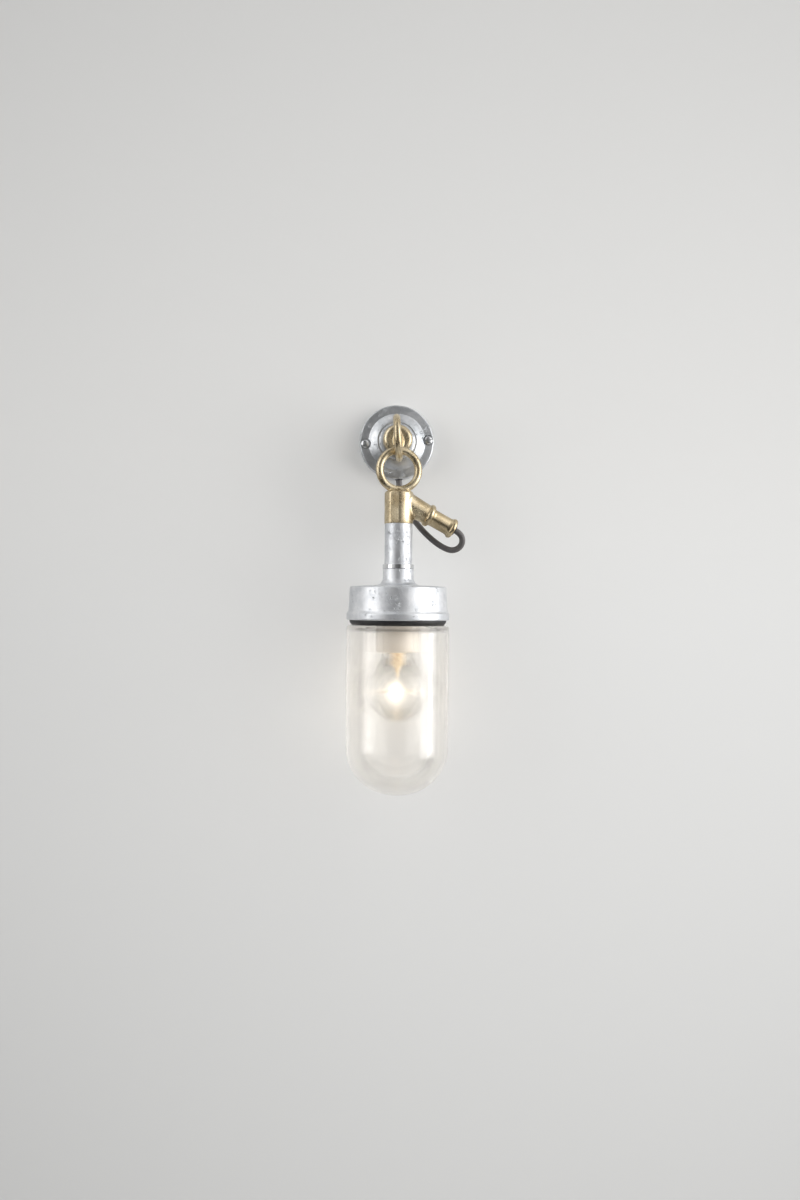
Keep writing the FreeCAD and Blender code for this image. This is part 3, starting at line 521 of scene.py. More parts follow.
class Finish:
    """What every finish shares: a material with its coordinates, groups and surface."""

    def __init__(self, name: str, place: Matrix | None = None) -> None:
        """Starts a material.

        Args:
            name: The material's name.
            place: The placement of the piece whose own axis the pattern follows.
        """
        self.material = bpy.data.materials.new(name)
        self.material.use_nodes = True
        self.board = NodeBoard(self.material.node_tree)
        self.vector = self.board.add("ShaderNodeTexCoord").outputs["Object"]
        if place is not None:
            self.vector = self.board.add("ShaderNodeMapping", {
                "Vector": self.vector, "Location": tuple(place.translation),
                "Rotation": tuple(place.to_euler()),
            }, vector_type="TEXTURE").outputs[0]

    def group(self, tree: Tree, **values: float) -> Node:
        """Places a shared group that reads this finish's coordinates."""
        node = self.board.add("ShaderNodeGroup")
        node.node_tree = tree
        self.board.tree.links.new(self.vector, node.inputs["Vector"])
        for key, value in values.items():
            node.inputs[key].default_value = value
        return node

    def skin(self, grain: float, pit: float) -> dict[str, Socket]:
        """Places the cast skin and gives its outputs by name."""
        return self.group(cast_skin(), Grain=grain, Pit=pit).outputs

    def bumped(self, height: object, depth: float) -> Socket:
        """Turns a height, from 0 to 1 of a depth, into a normal."""
        return self.board.add("ShaderNodeBump", {
            "Height": height, "Distance": depth, "Strength": 1.0}).outputs["Normal"]

    def surface(self, tone: object, gloss: object, more: dict[str, object],
                relief: tuple[Socket, float] | None = None) -> Material:
        """Ends the finish in one Principled surface.

        Args:
            tone: Its colour.
            gloss: Its roughness.
            more: What else it has, by the names of the sockets.
            relief: Its height and the depth that this stands for.

        Returns:
            The material.
        """
        if relief:
            more = {**more, "Normal": self.bumped(*relief)}
        return self.ended(self.board.add("ShaderNodeBsdfPrincipled", {
            "Base Color": tone, "Roughness": gloss, **more}))

    def ended(self, shader: Node, **others: Socket) -> Material:
        """Ends the finish in a shader, and gives back its material."""
        self.board.add("ShaderNodeOutputMaterial", {"Surface": shader.outputs[0], **others})
        return self.material


@dataclass(frozen=True)
class CastMetal:
    """A cast metal: its tones, its gloss, its grain, its pits and its zinc crystals."""

    name: str
    light: Colour
    dark: Colour
    smooth: float
    rough: float
    grain: float
    pit: float
    depth: float
    spangled: float = 0.0
    pit_share: float = 0.6
    pit_shade: float = 0.4
    scratch_gloss: float = 0.12
    scratch_depth: float = 0.5
    clouds: Span = (0.35, 0.68)
    flecks: Span = (0.3, 0.75)

    def build(self) -> Material:
        """Makes the material."""
        finish = Finish(self.name)
        board = finish.board
        skin = finish.skin(self.grain, self.pit)
        tone = board.mixed(board.ranged(skin["Cloud"], *self.clouds), self.light, self.dark)
        if self.spangled:
            crystal = finish.group(spangle()).outputs["Tone"]
            tone = board.mixed(board.times(crystal, self.spangled), tone, self.dark)
        marks = finish.group(scratches()).outputs["Mask"]
        pitted = tuple(self.pit_shade * v for v in self.dark)
        tone = board.mixed(board.times(skin["Pits"], self.pit_share), tone, pitted)
        gloss = board.ranged(skin["Fleck"], *self.flecks, self.smooth, self.rough)
        gloss = board.sum(gloss, board.times(marks, self.scratch_gloss))
        height = board.sum(skin["Height"], board.times(marks, self.scratch_depth), "SUBTRACT")
        return finish.surface(tone, gloss, {"Metallic": 1.0}, (height, self.depth))


@dataclass(frozen=True)
class TurnedMetal:
    """A turned or drawn metal with fine rings round its own axis."""

    name: str
    light: Colour
    dark: Colour
    roughness: float
    grain: float = 600.0
    pit: float = 300.0
    lines: float = 2600.0
    depth: float = 0.00003
    clouds: Span = (0.38, 0.66)
    bands: Span = (0.3, 0.7)
    gloss_shares: Span = (0.8, 1.25)
    fleck_share: float = 0.5

    def build(self, place: Matrix | None = None) -> Material:
        """Makes the material. Its rings go round the placement's axis, if there is one."""
        finish = Finish(self.name, place)
        board = finish.board
        rings = finish.group(turned_lines(), Scale=self.lines).outputs["Lines"]
        skin = finish.skin(self.grain, self.pit)
        tone = board.mixed(board.ranged(skin["Cloud"], *self.clouds), self.light, self.dark)
        gloss = board.ranged(rings, *self.bands, *(self.roughness * share for share in self.gloss_shares))
        height = board.sum(rings, board.times(skin["Fleck"], self.fleck_share))
        return finish.surface(tone, gloss, {"Metallic": 1.0}, (height, self.depth))


@dataclass(frozen=True)
class SoftPolymer:
    """Rubber or plastic: matt, with a faint bloom and fine dust."""

    name: str
    colour: Colour
    dust: Colour
    roughness: float
    grain: float = 1400.0
    pit: float = 260.0
    depth: float = 0.00002
    clouds: Span = (0.42, 0.72)
    dust_share: float = 0.6
    flecks: Span = (0.3, 0.7)
    gloss_steps: Span = (-0.06, 0.08)

    def build(self) -> Material:
        """Makes the material."""
        finish = Finish(self.name)
        board = finish.board
        skin = finish.skin(self.grain, self.pit)
        dusty = board.ranged(skin["Cloud"], *self.clouds, 0.0, self.dust_share)
        tone = board.mixed(dusty, self.colour, self.dust)
        limits = [self.roughness + step for step in self.gloss_steps]
        gloss = board.ranged(skin["Fleck"], *self.flecks, *limits)
        return finish.surface(tone, gloss, {}, (skin["Fleck"], self.depth))


@dataclass(frozen=True)
class Glaze:
    """A glazed ceramic: cream body, clear coat, faint specks."""

    name: str
    colour: Colour
    shade: Colour
    speck: Colour = (0.3, 0.24, 0.18)
    grain: float = 500.0
    pit: float = 300.0
    depth: float = 0.0002
    clouds: Span = (0.35, 0.7)
    flecks: Span = (0.3, 0.7)
    speck_share: float = 0.25
    gloss: Span = (0.16, 0.26)
    coat: float = 0.6
    coat_roughness: float = 0.05

    def build(self) -> Material:
        """Makes the material."""
        finish = Finish(self.name)
        board = finish.board
        skin = finish.skin(self.grain, self.pit)
        tone = board.mixed(board.ranged(skin["Cloud"], *self.clouds), self.colour, self.shade)
        tone = board.mixed(board.times(skin["Pits"], self.speck_share), tone, self.speck)
        gloss = board.ranged(skin["Fleck"], *self.flecks, *self.gloss)
        coat = {"Coat Weight": self.coat, "Coat Roughness": self.coat_roughness}
        return finish.surface(tone, gloss, coat, (skin["Cloud"], self.depth))


@dataclass(frozen=True)
class ClearGlass:
    """Clear glass that lets light and its shadow through, with faint waves and a little dust.

    A share of it is thin glass, which doesn't bend what is seen through it.
    """

    name: str
    tint: Colour
    wave: float
    wave_depth: float
    thin_share: float
    dust: float
    smear: float = 0.012
    dust_colour: Colour = (0.95, 0.94, 0.92)
    smeared: Span = (0.45, 0.75)

    def build(self) -> Material:
        """Makes the material."""
        finish = Finish(self.name)
        board = finish.board
        waves = board.noise(finish.vector, self.wave).outputs["Fac"]
        smear = board.ranged(waves, *self.smeared, 0.0, self.smear)
        normal = finish.bumped(waves, self.wave_depth)
        thick = board.add("ShaderNodeBsdfPrincipled", {
            "Base Color": self.tint, "Roughness": smear, "IOR": GLASS_INDEX, "Transmission Weight": 1.0,
            "Normal": normal})
        through = board.add("ShaderNodeBsdfTransparent", {"Color": self.tint})
        gloss = board.add("ShaderNodeBsdfGlossy", {"Color": (1.0, 1.0, 1.0), "Roughness": smear,
                                                   "Normal": normal})
        side = board.add("ShaderNodeNewGeometry").outputs["Backfacing"]
        bend = board.ranged(side, 0.0, 1.0, GLASS_INDEX, 1 / GLASS_INDEX)
        mirror = board.add("ShaderNodeFresnel", {"IOR": bend, "Normal": normal}).outputs[0]
        clear = board.blended(self.thin_share, thick, board.blended(mirror, through, gloss))
        veil = board.add("ShaderNodeBsdfDiffuse", {"Color": self.dust_colour})
        shadow = board.add("ShaderNodeLightPath").outputs["Is Shadow Ray"]
        return finish.ended(board.blended(shadow, board.blended(self.dust, clear, veil), through))


@dataclass(frozen=True)
class HotWire:
    """Something lit: bright, a little uneven along its length."""

    name: str
    colour: Colour
    strength: float
    uneven: float = 300.0
    base: Colour = (0.3, 0.28, 0.25)
    hottest: Colour = (1.0, 0.9, 0.72)
    patches: Span = (0.4, 0.6)
    roughness: float = 0.5

    def build(self) -> Material:
        """Makes the material."""
        finish = Finish(self.name)
        board = finish.board
        # The filament is a real lamp; on the bulb's glass stem this emission is painted light.
        share = board.ranged(board.noise(finish.vector, self.uneven).outputs["Fac"], *self.patches)
        glow = board.mixed(share, self.colour, self.hottest)
        return finish.surface(self.base, self.roughness, {
            "Emission Color": glow, "Emission Strength": self.strength})


@dataclass(frozen=True)
class Glare:
    """The soft glow round a filament, bright in the middle, gone at its edge and not mirrored."""

    name: str
    colour: Colour
    middle: Spot
    reach: Spot
    strength: float
    falloff: float = 2.0

    def build(self) -> Material:
        """Makes the material."""
        finish = Finish(self.name)
        board = finish.board
        away = board.vectors(finish.vector, self.middle, "SUBTRACT")
        away = board.vectors(away.outputs[0], self.reach, "DIVIDE")
        away = board.add("ShaderNodeVectorMath", {0: away.outputs[0]}, operation="LENGTH")
        near = board.ranged(away.outputs["Value"], 0.0, 1.0, 1.0, 0.0)
        path = board.add("ShaderNodeLightPath")
        direct = board.sum(path.outputs["Glossy Depth"], 0.5, "LESS_THAN")
        fall = board.times(board.sum(near, self.falloff, "POWER"), direct)
        light = board.add("ShaderNodeEmission", {
            "Color": self.colour, "Strength": board.times(fall, self.strength)})
        clear = board.add("ShaderNodeBsdfPrincipled", {"Base Color": self.colour, "Alpha": 0.0})
        return finish.ended(clear, Volume=light.outputs[0])


@dataclass
class Palette:
    """All the finishes of the light, made once."""

    zinc: CastMetal = CastMetal("galvanised_casting", (0.82, 0.83, 0.85), (0.60, 0.62, 0.65), 0.36, 0.56,
                                grain=620.0, pit=230.0, depth=0.00026, spangled=0.35)
    plate: CastMetal = CastMetal("galvanised_plate", (0.70, 0.71, 0.73), (0.42, 0.44, 0.46), 0.30, 0.52,
                                 grain=560.0, pit=260.0, depth=0.00034, spangled=0.45)
    brass: CastMetal = CastMetal("cast_brass", (0.67, 0.58, 0.41), (0.42, 0.33, 0.20), 0.21, 0.40,
                                 grain=720.0, pit=360.0, depth=0.00022)
    bright: TurnedMetal = TurnedMetal("polished_ring", (0.74, 0.75, 0.76), (0.60, 0.61, 0.63), 0.09)
    turned_brass: TurnedMetal = TurnedMetal("turned_brass", (0.62, 0.52, 0.35), (0.46, 0.36, 0.21), 0.30)
    plated: TurnedMetal = TurnedMetal("zinc_plated_steel", (0.70, 0.71, 0.72), (0.52, 0.53, 0.55), 0.3)
    shell_brass: TurnedMetal = TurnedMetal("shell_brass", (0.80, 0.62, 0.32), (0.66, 0.5, 0.24), 0.3)
    lamp_alloy: TurnedMetal = TurnedMetal("lamp_cap_alloy", (0.82, 0.82, 0.83), (0.7, 0.7, 0.71), 0.26)
    rubber: SoftPolymer = SoftPolymer("black_rubber", (0.012, 0.012, 0.013), (0.035, 0.034, 0.033), 0.52)
    sheath: SoftPolymer = SoftPolymer("flex_sheath", (0.115, 0.107, 0.107), (0.155, 0.145, 0.145), 0.42,
                                      grain=2200.0, depth=0.00001)
    green: SoftPolymer = SoftPolymer("earth_insulation", (0.30, 0.42, 0.04), (0.34, 0.45, 0.08), 0.42)
    blue: SoftPolymer = SoftPolymer("neutral_insulation", (0.03, 0.12, 0.42), (0.05, 0.14, 0.42), 0.42)
    brown: SoftPolymer = SoftPolymer("live_insulation", (0.20, 0.075, 0.03), (0.23, 0.10, 0.05), 0.42)
    porcelain: Glaze = Glaze("cream_porcelain", (0.88, 0.80, 0.71), (0.81, 0.72, 0.61))
    glass: ClearGlass = ClearGlass("clear_pressed_glass", (0.995, 0.988, 0.976), 26.0, 0.0003, 0.5, 0.022)
    thin_glass: ClearGlass = ClearGlass("lamp_glass", (1.0, 0.995, 0.985), 60.0, 0.00004, 0.45, 0.01)
    hot: HotWire = HotWire("hot_filament", (1.0, 0.78, 0.48), 0.10)
    # The bulb's glass stem gets a painted glow: an emission that stands in for the filament's light on it,
    # though the stem is no lamp.
    stem_painted_glow: HotWire = HotWire("stem_painted_glow", (0.34, 0.16, 0.03), 0.7, 700.0, (0.66, 0.56, 0.40))
    coats: dict[str, Material] = field(default_factory=dict)

    def coat(self, name: str, place: Matrix | None = None) -> Material:
        """Gives a finish's material, made the first time that it is asked for.

        Args:
            name: The finish's field here.
            place: The placement that its pattern follows, or None for the object's own axes.

        Returns:
            The material.
        """
        key = name if place is None else f"{name}_{len(self.coats)}"
        if key not in self.coats:
            kind = getattr(self, name)
            self.coats[key] = kind.build() if place is None else kind.build(place)
        return self.coats[key]


@dataclass
class Builder:
    """What the builders of pieces share: the finishes, the places and the body that the pieces ride on."""

    palette: Palette
    site: Site
    body: str = "pendant"

    def finished(self, piece: Piece, coat: str | Material, slot: str,
                 nodes: Sequence[str] = (), smooth: float = 35.0, along: Matrix | None = None,
                 body: str = "") -> None:
        """Shades a piece, gives it its finish and lets it ride on a body.

        Args:
            piece: The piece.
            coat: Its finish's field in the palette, or its material.
            slot: The record's slot for that material; not used.
            nodes: The solids that it stands for.
            smooth: The widest angle between faces that is shaded smooth.
            along: The placement that the finish's pattern follows.
            body: The body that it rides on, if not the builder's own.
        """
        body = body or self.body
        pick(piece)
        bpy.ops.object.shade_smooth_by_angle(angle=math.radians(smooth))
        piece.data.materials.clear()
        piece.data.materials.append(self.palette.coat(coat, along) if isinstance(coat, str) else coat)
        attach(piece, body)
        if nodes:
            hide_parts(*nodes)
        log.info("%s: %d faces on %s", piece.name, len(piece.data.polygons), body)

    def cast(self, name: str, node: str, voxel: float, passes: int, coat: str, slot: str) -> None:
        """Shows a solid with the soft corners of a sand casting.

        Args:
            name: The new piece's name.
            node: The solid that is copied.
            voxel: The size of the new faces.
            passes: How often the surface is smoothed.
            coat: The finish's field in the palette.
            slot: The record's slot for it.
        """
        piece = shown(name, frame["nodes"][node].data.copy())
        piece.data.materials.clear()
        pick(piece)
        heal()
        apply(piece, "REMESH", mode="VOXEL", voxel_size=voxel, use_smooth_shade=True)
        apply(piece, "SMOOTH", factor=0.5, iterations=passes)
        self.finished(piece, coat, slot, [node], smooth=180)

    def dress(self, **coats: str) -> None:
        """Gives solids that are shown as they are a better material, each named with its finish."""
        for node, coat in coats.items():
            mesh = frame["nodes"][node].data
            mesh.materials.clear()
            mesh.materials.append(self.palette.coat(coat))
            log.info("%s: dressed in %s", node, coat)


@dataclass
class FreeFlex(Builder):
    """The short flex that runs free from the plate's rim to the gland."""

    width: float = 0.006
    length: float = 0.1307
    fineness: int = 14
    round_steps: int = 7
    order: int = 3
    route: tuple[Spot, ...] = (
        (0.00264, -0.0052, -0.03781), (0.00348, -0.0052, -0.04978), (0.0085, -0.0155, -0.0645),
        (0.0165, -0.0255, -0.0795), (0.0278, -0.0320, -0.0937), (0.0402, -0.0365, -0.1047),
        (0.0515, -0.0390, -0.1107), (0.0589, -0.0406, -0.1097), (0.0634, -0.0420, -0.1052),
        (0.0641, -0.0432, -0.0989), (0.0606, -0.04434, -0.09345), (0.05605, -0.04514, -0.09105),
    )

    def line(self, bevel: float) -> Piece:
        """Draws the route as one smooth curve.

        Args:
            bevel: The radius round it, or 0 for the bare line.

        Returns:
            The curve's object.
        """
        curve = bpy.data.curves.new("flex_line", "CURVE")
        curve.dimensions = "3D"
        curve.resolution_u = self.fineness
        curve.bevel_depth = bevel
        curve.bevel_resolution = self.round_steps
        curve.use_fill_caps = bevel > 0
        spline = curve.splines.new("NURBS")
        spline.points.add(len(self.route) - 1)
        for point, place in zip(spline.points, self.route):
            point.co = (*place, 1)
        spline.order_u = self.order
        spline.use_endpoint_u = True
        return shown("flex_line", curve)

    def build(self) -> None:
        bare = self.line(0)
        bpy.context.view_layer.update()
        mesh = bpy.data.meshes.new_from_object(bare.evaluated_get(bpy.context.evaluated_depsgraph_get()))
        bpy.data.meshes.remove(mesh)
        bpy.data.objects.remove(bare)
        pick(self.line(self.width / 2))
        bpy.ops.object.convert(target="MESH")
        flex = bpy.context.object
        flex.name = "free_flex"
        bpy.ops.object.shade_smooth()
        flex.data.materials.clear()
        flex.data.materials.append(self.palette.coat("sheath"))
        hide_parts("flex")
        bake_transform(flex)


@dataclass
class WallSet(Builder):
    """The wall plate with its eye and fixings, and the wires behind it."""

    body: str = "wall_set"
    screw_circle: float = 0.064
    seat: float = 0.0108
    head_width: float = 0.0084
    head_height: float = 0.0026
    shank: float = 0.0044
    core: float = 0.0031
    length: float = 0.022
    tip: float = 0.004
    step: float = 0.0006
    edge: float = 0.0002
    rim_share: float = 0.4
    crown_share: float = 0.66
    crown_drop: float = 0.0005
    crown_round: float = 0.004
    slot_width: float = 0.0012
    slot_depth: float = 0.0013
    slot_turns: Span = (25, 95)
    thread_pitch: float = 0.0018
    thread_height: float = 0.00036
    plate_voxel: float = 0.0005
    eye_voxel: float = 0.00042

    def build(self) -> None:
        """Builds the set and dresses what stays as it is."""
        self.cast("wall_plate_casting", "wall_plate", self.plate_voxel, 3, "plate", "galvanised_steel")
        self.cast("wall_eye_casting", "wall_eye", self.eye_voxel, 4, "brass", "cast_brass")
        for index, (side, turn) in enumerate(zip((-1, 1), self.slot_turns)):
            screw = self.screw(f"wall_screw_{index + 1}")
            shift = Matrix.Translation((side * self.screw_circle / 2, 0, 0))
            placed(screw, self.site.wall() @ shift @ turned(turn, Axis.Z))
            self.finished(screw, "plated", "zinc_steel", ["wall_screws"])
        self.dress(eye_washer="plated", eye_nut="plated", terminal_block="porcelain",
                   terminal_screws="shell_brass", flex_grommet="rubber", wall_flex_tail="sheath",
                   wall_earth_core="green", wall_neutral_core="blue", wall_live_core="brown")

    def screw(self, name: str) -> Piece:
        """Models a domed slotted screw with a thread and a point.

        Args:
            name: The piece's name.

        Returns:
            The screw, standing on the Z axis.
        """
        head, core, shank = self.head_width / 2, self.core / 2, self.shank / 2
        top = self.seat + self.head_height
        tip = self.length - self.tip
        screw = spun(name, rounded([
            (0, -self.length, 0), (core, -tip, 0), (core, -self.step, 0), (shank, 0, 0),
            (shank, self.seat, self.edge), (head, self.seat, self.edge),
            (head, self.seat + self.rim_share * self.head_height, 4 * self.edge),
            (head * self.crown_share, top - self.crown_drop, self.crown_round), (0, top, 0),
        ]), steps=64)
        slotted(screw, (self.slot_width, self.head_width * 1.2, self.slot_depth * 2), (0, 0, top))
        turns = int((tip - self.thread_pitch) / self.thread_pitch)
        thread = ridge(f"{name}_thread", core, -tip, self.thread_pitch, turns, self.thread_height)
        return joined(name, [screw, thread])


@dataclass
class BranchSet(Builder):
    """The brass casting with its ring and branch, and the gland in the branch."""

    voxel: float = 0.00045
    collar_end: float = 0.0368
    inner: float = 0.0137
    nut_start: float = 0.0310
    root: float = 0.0176
    waist: float = 0.0166
    waist_run: float = 0.0025
    lip: float = 0.0204
    lip_ease: float = 0.0006
    lip_length: float = 0.0046
    end: float = 0.0623
    bore: float = 0.0128
    boot: float = 0.0124
    boot_seat: float = 0.007
    boot_proud: float = 0.0017
    flex: float = 0.0062

    def build(self) -> None:
        """Builds the casting, the nut and the boot."""
        self.cast("ring_and_branch_casting", "branch_casting", self.voxel, 3, "brass", "cast_brass")
        self.nut()
        self.seal()
        self.dress(gland_washers="shell_brass", gland_seal="rubber", branch_flex_tail="sheath",
                   earth_core="green", neutral_core="blue", live_core="brown")

    def nut(self) -> None:
        """Models the waisted gland nut with its rolled lip."""
        low = self.end - self.lip_length
        flex, inner, bore, root = self.flex / 2, self.inner / 2, self.bore / 2, self.root / 2
        waist, lip, ease = self.waist / 2, self.lip / 2, self.lip_ease
        nut = hollow("gland_nut_turned", [
            (flex, self.nut_start, 0), (inner, self.nut_start, 0.0003), (inner, self.collar_end, 0),
            (root, self.collar_end, 0.0004), (waist, self.collar_end + self.waist_run, 0.004),
            (waist, low - self.waist_run, 0.004), (root, low, 0.0003), (lip - ease, low + ease, 0.0012),
            (lip, (low + self.end) / 2, 0.0022), (lip - ease, self.end - ease, 0.0012),
            (root, self.end, 0.0005), (bore, self.end, 0.0004), (bore, self.end - self.boot_seat, 0),
            (flex, self.end - self.boot_seat, 0),
        ], self.site.branch(), steps=96)
        self.finished(nut, "turned_brass", "turned_brass", ["gland_nut"], along=self.site.branch())

    def seal(self) -> None:
        """Models the soft boot in the nut's mouth."""
        start, proud = self.end - self.boot_seat, self.end + self.boot_proud
        flex, boot = self.flex / 2, self.boot / 2
        collar = hollow("gland_boot_moulded", [
            (flex, start, 0), (boot, start, 0.0002), (boot, self.end + 0.0002, 0.0004),
            (boot - 0.0004, self.end + 0.7 * self.boot_proud, 0.0006), (boot - 0.0016, proud, 0.0005),
            (flex, proud, 0.0003),
        ], self.site.branch(), steps=72)
        self.finished(collar, "rubber", "black_rubber", ["gland_boot"])


@dataclass
class StemAndCap(Builder):
    """The stem tube, its lock ring, the cast cap and the strap under the cap's roof."""

    stem: float = 0.0269
    stem_bore: float = 0.0216
    spigot: float = 0.0240
    spigot_length: float = 0.0119
    thread: float = 0.0264
    stem_top: float = -0.0860
    stem_bottom: float = -0.1255
    ring: float = 0.0306
    ring_gap: float = 0.00015
    ring_height: float = 0.0044
    ring_edge: float = 0.0005
    neck: float = 0.0300
    neck_gap: float = 0.0002
    neck_bottom: float = -0.1410
    flare: float = 0.0060
    crown: float = -0.1456
    top: float = -0.1470
    top_width: float = 0.0936
    skirt: float = 0.0958
    bead: float = 0.0996
    bead_top: float = -0.1720
    bottom: float = -0.1794
    roof: float = -0.1512
    inside: float = 0.0866
    boss: float = 0.0090
    boss_hole: float = 0.0043
    boss_drop: float = 0.0060
    boss_root: float = 0.0004
    boss_places: tuple[Point, ...] = ((0.0260, 0), (-0.0260, 0), (0, 0.0270))

    def build(self) -> None:
        """Builds the stem, the ring and the cap, and dresses the small pieces."""
        hang = self.site.hang()
        thread, bore = self.thread / 2, self.stem_bore / 2
        ring_low = self.stem_bottom - self.ring_height
        self.stem_tube(hang, thread, bore)
        self.lock_ring(hang, thread + self.ring_gap, ring_low)
        self.cap(hang, thread + self.neck_gap, bore, ring_low)
        self.dress(holder_strap="plated", strap_screws="plated", holder_nut="plated",
                   holder_nipple="shell_brass", earth_screw="shell_brass")

    def stem_tube(self, hang: Matrix, thread: float, bore: float) -> None:
        """Models the galvanised stem with its spigot and the foot that takes the thread."""
        half, spigot, high = self.stem / 2, self.spigot / 2, self.stem_top + self.spigot_length
        tube = hollow("stem_tube_drawn", [
            (bore, self.crown, 0.0003), (thread, self.crown, 0.0003), (thread, self.stem_bottom, 0),
            (half, self.stem_bottom, 0.0003), (half, self.stem_top, 0.0003), (spigot, self.stem_top, 0),
            (spigot, high, 0.0004), (bore, high, 0.0004),
        ], hang)
        self.finished(tube, "zinc", "galvanised_steel", ["stem_tube"])

    def lock_ring(self, hang: Matrix, bore: float, low: float) -> None:
        """Models the round polished ring on the stem's thread."""
        outer, high, edge = self.ring / 2, self.stem_bottom, self.ring_edge
        ring = hollow("lock_ring_polished", [
            (bore, low, 0.0002), (outer, low, edge), (outer, high, edge), (bore, high, 0.0002),
        ], hang, easing=8)
        self.finished(ring, "bright", "polished_steel", ["lock_ring"], along=hang)

    def cap(self, hang: Matrix, thread: float, bore: float, high: float) -> None:
        """Models the cast cap: neck, flared crown, skirt with its groove, beaded rim and hollow inside."""
        neck, skirt, bead, inner = self.neck / 2, self.skirt / 2, self.bead / 2, self.inside / 2
        pieces = [hollow("cap_casting", [
            (thread, high, 0), (neck, high, 0.0005), (neck, self.neck_bottom + 0.001, 0.0016),
            (neck + self.flare * 0.32, self.crown + 0.0012, 0.0060), (neck + self.flare, self.crown, 0.0010),
            (self.top_width / 2, self.top, 0.0022), (skirt, self.bead_top + 0.0036, 0.0008),
            (skirt + 0.0003, self.bead_top + 0.0013, 0.0006),
            (bead - 0.0009, self.bead_top + 0.0001, 0.0008), (bead, self.bead_top - 0.0012, 0.0010),
            (bead, self.bottom, 0.0013), (inner, self.bottom, 0.0006), (inner, self.roof, 0.0020),
            (bore, self.roof, 0.0008), (bore, self.crown, 0), (thread, self.crown, 0),
        ], Matrix(), steps=192)]
        hole, boss = self.boss_hole / 2, self.boss / 2
        low, root = self.roof - self.boss_drop, self.roof + self.boss_root
        for index, (x, y) in enumerate(self.boss_places):
            pieces.append(hollow(f"cap_boss_{index + 1}", [
                (hole, low, 0.0002), (boss, low, 0.0005), (boss + self.boss_root, root, 0.0002),
                (hole, root, 0),
            ], Matrix.Translation((x, y, 0)), steps=40))
        cap = placed(joined("cap_casting", pieces), hang)
        self.finished(cap, "zinc", "galvanised_steel", ["cap"])


@dataclass
class Lampholder(Builder):
    """The porcelain lampholder with its threaded shell."""

    width: float = 0.0426
    top: float = -0.1588
    bottom: float = -0.2104
    mouth: float = 0.0012
    nipple: float = 0.01015
    pocket: float = 0.0290
    ceiling: float = -0.1664
    room: float = 0.0230
    shell_top: float = -0.1754
    shell_radius: float = 0.0143
    shell_length: float = 0.0220
    shell_turns: int = 6
    shell_wave: float = 0.0004
    pitch: float = 0.0036

    def build(self) -> None:
        """Builds the holder's body and its shell."""
        hang = self.site.hang()
        nipple, width, pocket, room = self.nipple / 2, self.width / 2, self.pocket / 2, self.room / 2
        holder = hollow("lampholder_glazed", [
            (nipple, self.top, 0), (width, self.top, 0.0018), (width, self.bottom, 0.0018),
            (pocket + self.mouth, self.bottom, 0.0006), (pocket, self.bottom + 2 * self.mouth, 0.0010),
            (pocket, self.shell_top, 0), (room, self.shell_top, 0.0004), (room, self.ceiling, 0.0008),
            (nipple, self.ceiling, 0),
        ], hang)
        self.finished(holder, "porcelain", "porcelain", ["lampholder"])
        shell = threaded("screw_shell_rolled", self.shell_radius, self.shell_top - self.shell_length,
                         self.pitch, self.shell_turns, self.shell_wave)
        apply(shell, "SOLIDIFY", thickness=SHEET, offset=-1)
        placed(shell, hang)
        self.finished(shell, "shell_brass", "brass_trim", ["screw_shell"], smooth=60, along=hang)
        self.dress(centre_contact="shell_brass")


@dataclass
class GlassSet(Builder):
    """The well glass and the gasket on its shoulder."""

    body: str = "glass"
    width: float = 0.1000
    wall: float = 0.0040
    neck: float = 0.0860
    neck_top: float = -0.1660
    shoulder: float = -0.1842
    shoulder_round: float = 0.0076
    straight_end: float = -0.3020
    bottom: float = -0.3477
    flat: float = 0.0240
    gasket: float = 0.0940
    gasket_top: float = -0.1794
    gasket_bevel: float = 0.0024
    gasket_gap: float = 0.0003
    dome_steps: int = 40
    corner_steps: int = 10

    def build(self) -> None:
        """Builds the glass and the gasket."""
        hang = self.site.hang()
        glass = placed(spun("well_glass_pressed", self.outline(), steps=192), hang)
        self.finished(glass, "glass", "clear_glass", ["well_glass"], smooth=60)
        bore, outer = self.neck / 2 + self.gasket_gap, self.gasket / 2
        gasket = hollow("gasket_moulded", [
            (bore, self.shoulder, 0.0002), (outer - self.gasket_bevel, self.shoulder, 0.0004),
            (outer - 0.0002, self.shoulder + self.gasket_bevel, 0.0006), (outer, self.gasket_top, 0.0003),
            (bore, self.gasket_top, 0.0002),
        ], hang, steps=160)
        self.finished(gasket, "rubber", "black_rubber", ["gasket"], body="gasket")

    def outline(self) -> list[Point]:
        """The glass's outer line down from its neck, and its inner line back up."""
        radius, neck, flat = self.width / 2, self.neck / 2, self.flat / 2
        drop = self.straight_end - self.bottom
        dome = ((radius - flat) ** 2 + drop ** 2) / (2 * (radius - flat))
        middle = (radius - dome, self.straight_end)
        inner_radius, inner_neck, inner_dome = radius - self.wall, neck - self.wall, dome - self.wall
        inner_shoulder, inner_bottom = self.shoulder - self.wall, self.bottom + self.wall
        end = -math.degrees(math.asin(drop / dome))
        inner_end = -math.degrees(math.asin((self.straight_end - inner_bottom) / inner_dome))
        outside = rounded([
            (inner_neck, self.neck_top, 0), (neck, self.neck_top, 0.0012), (neck, self.shoulder, 0.0010),
            (radius, self.shoulder, self.shoulder_round), (radius, self.straight_end, 0),
        ], steps=self.corner_steps)
        inside = rounded([
            (inner_radius, self.straight_end, 0), (inner_radius, inner_shoulder, 0.0056),
            (inner_neck, inner_shoulder, 0.0020), (inner_neck, self.neck_top, 0),
        ], steps=self.corner_steps)
        return (outside[:-1] + arc(middle, dome, 0, end, self.dome_steps)
                + [(0, self.bottom), (0, inner_bottom)]
                + arc(middle, inner_dome, inner_end, 0, self.dome_steps) + inside[1:])


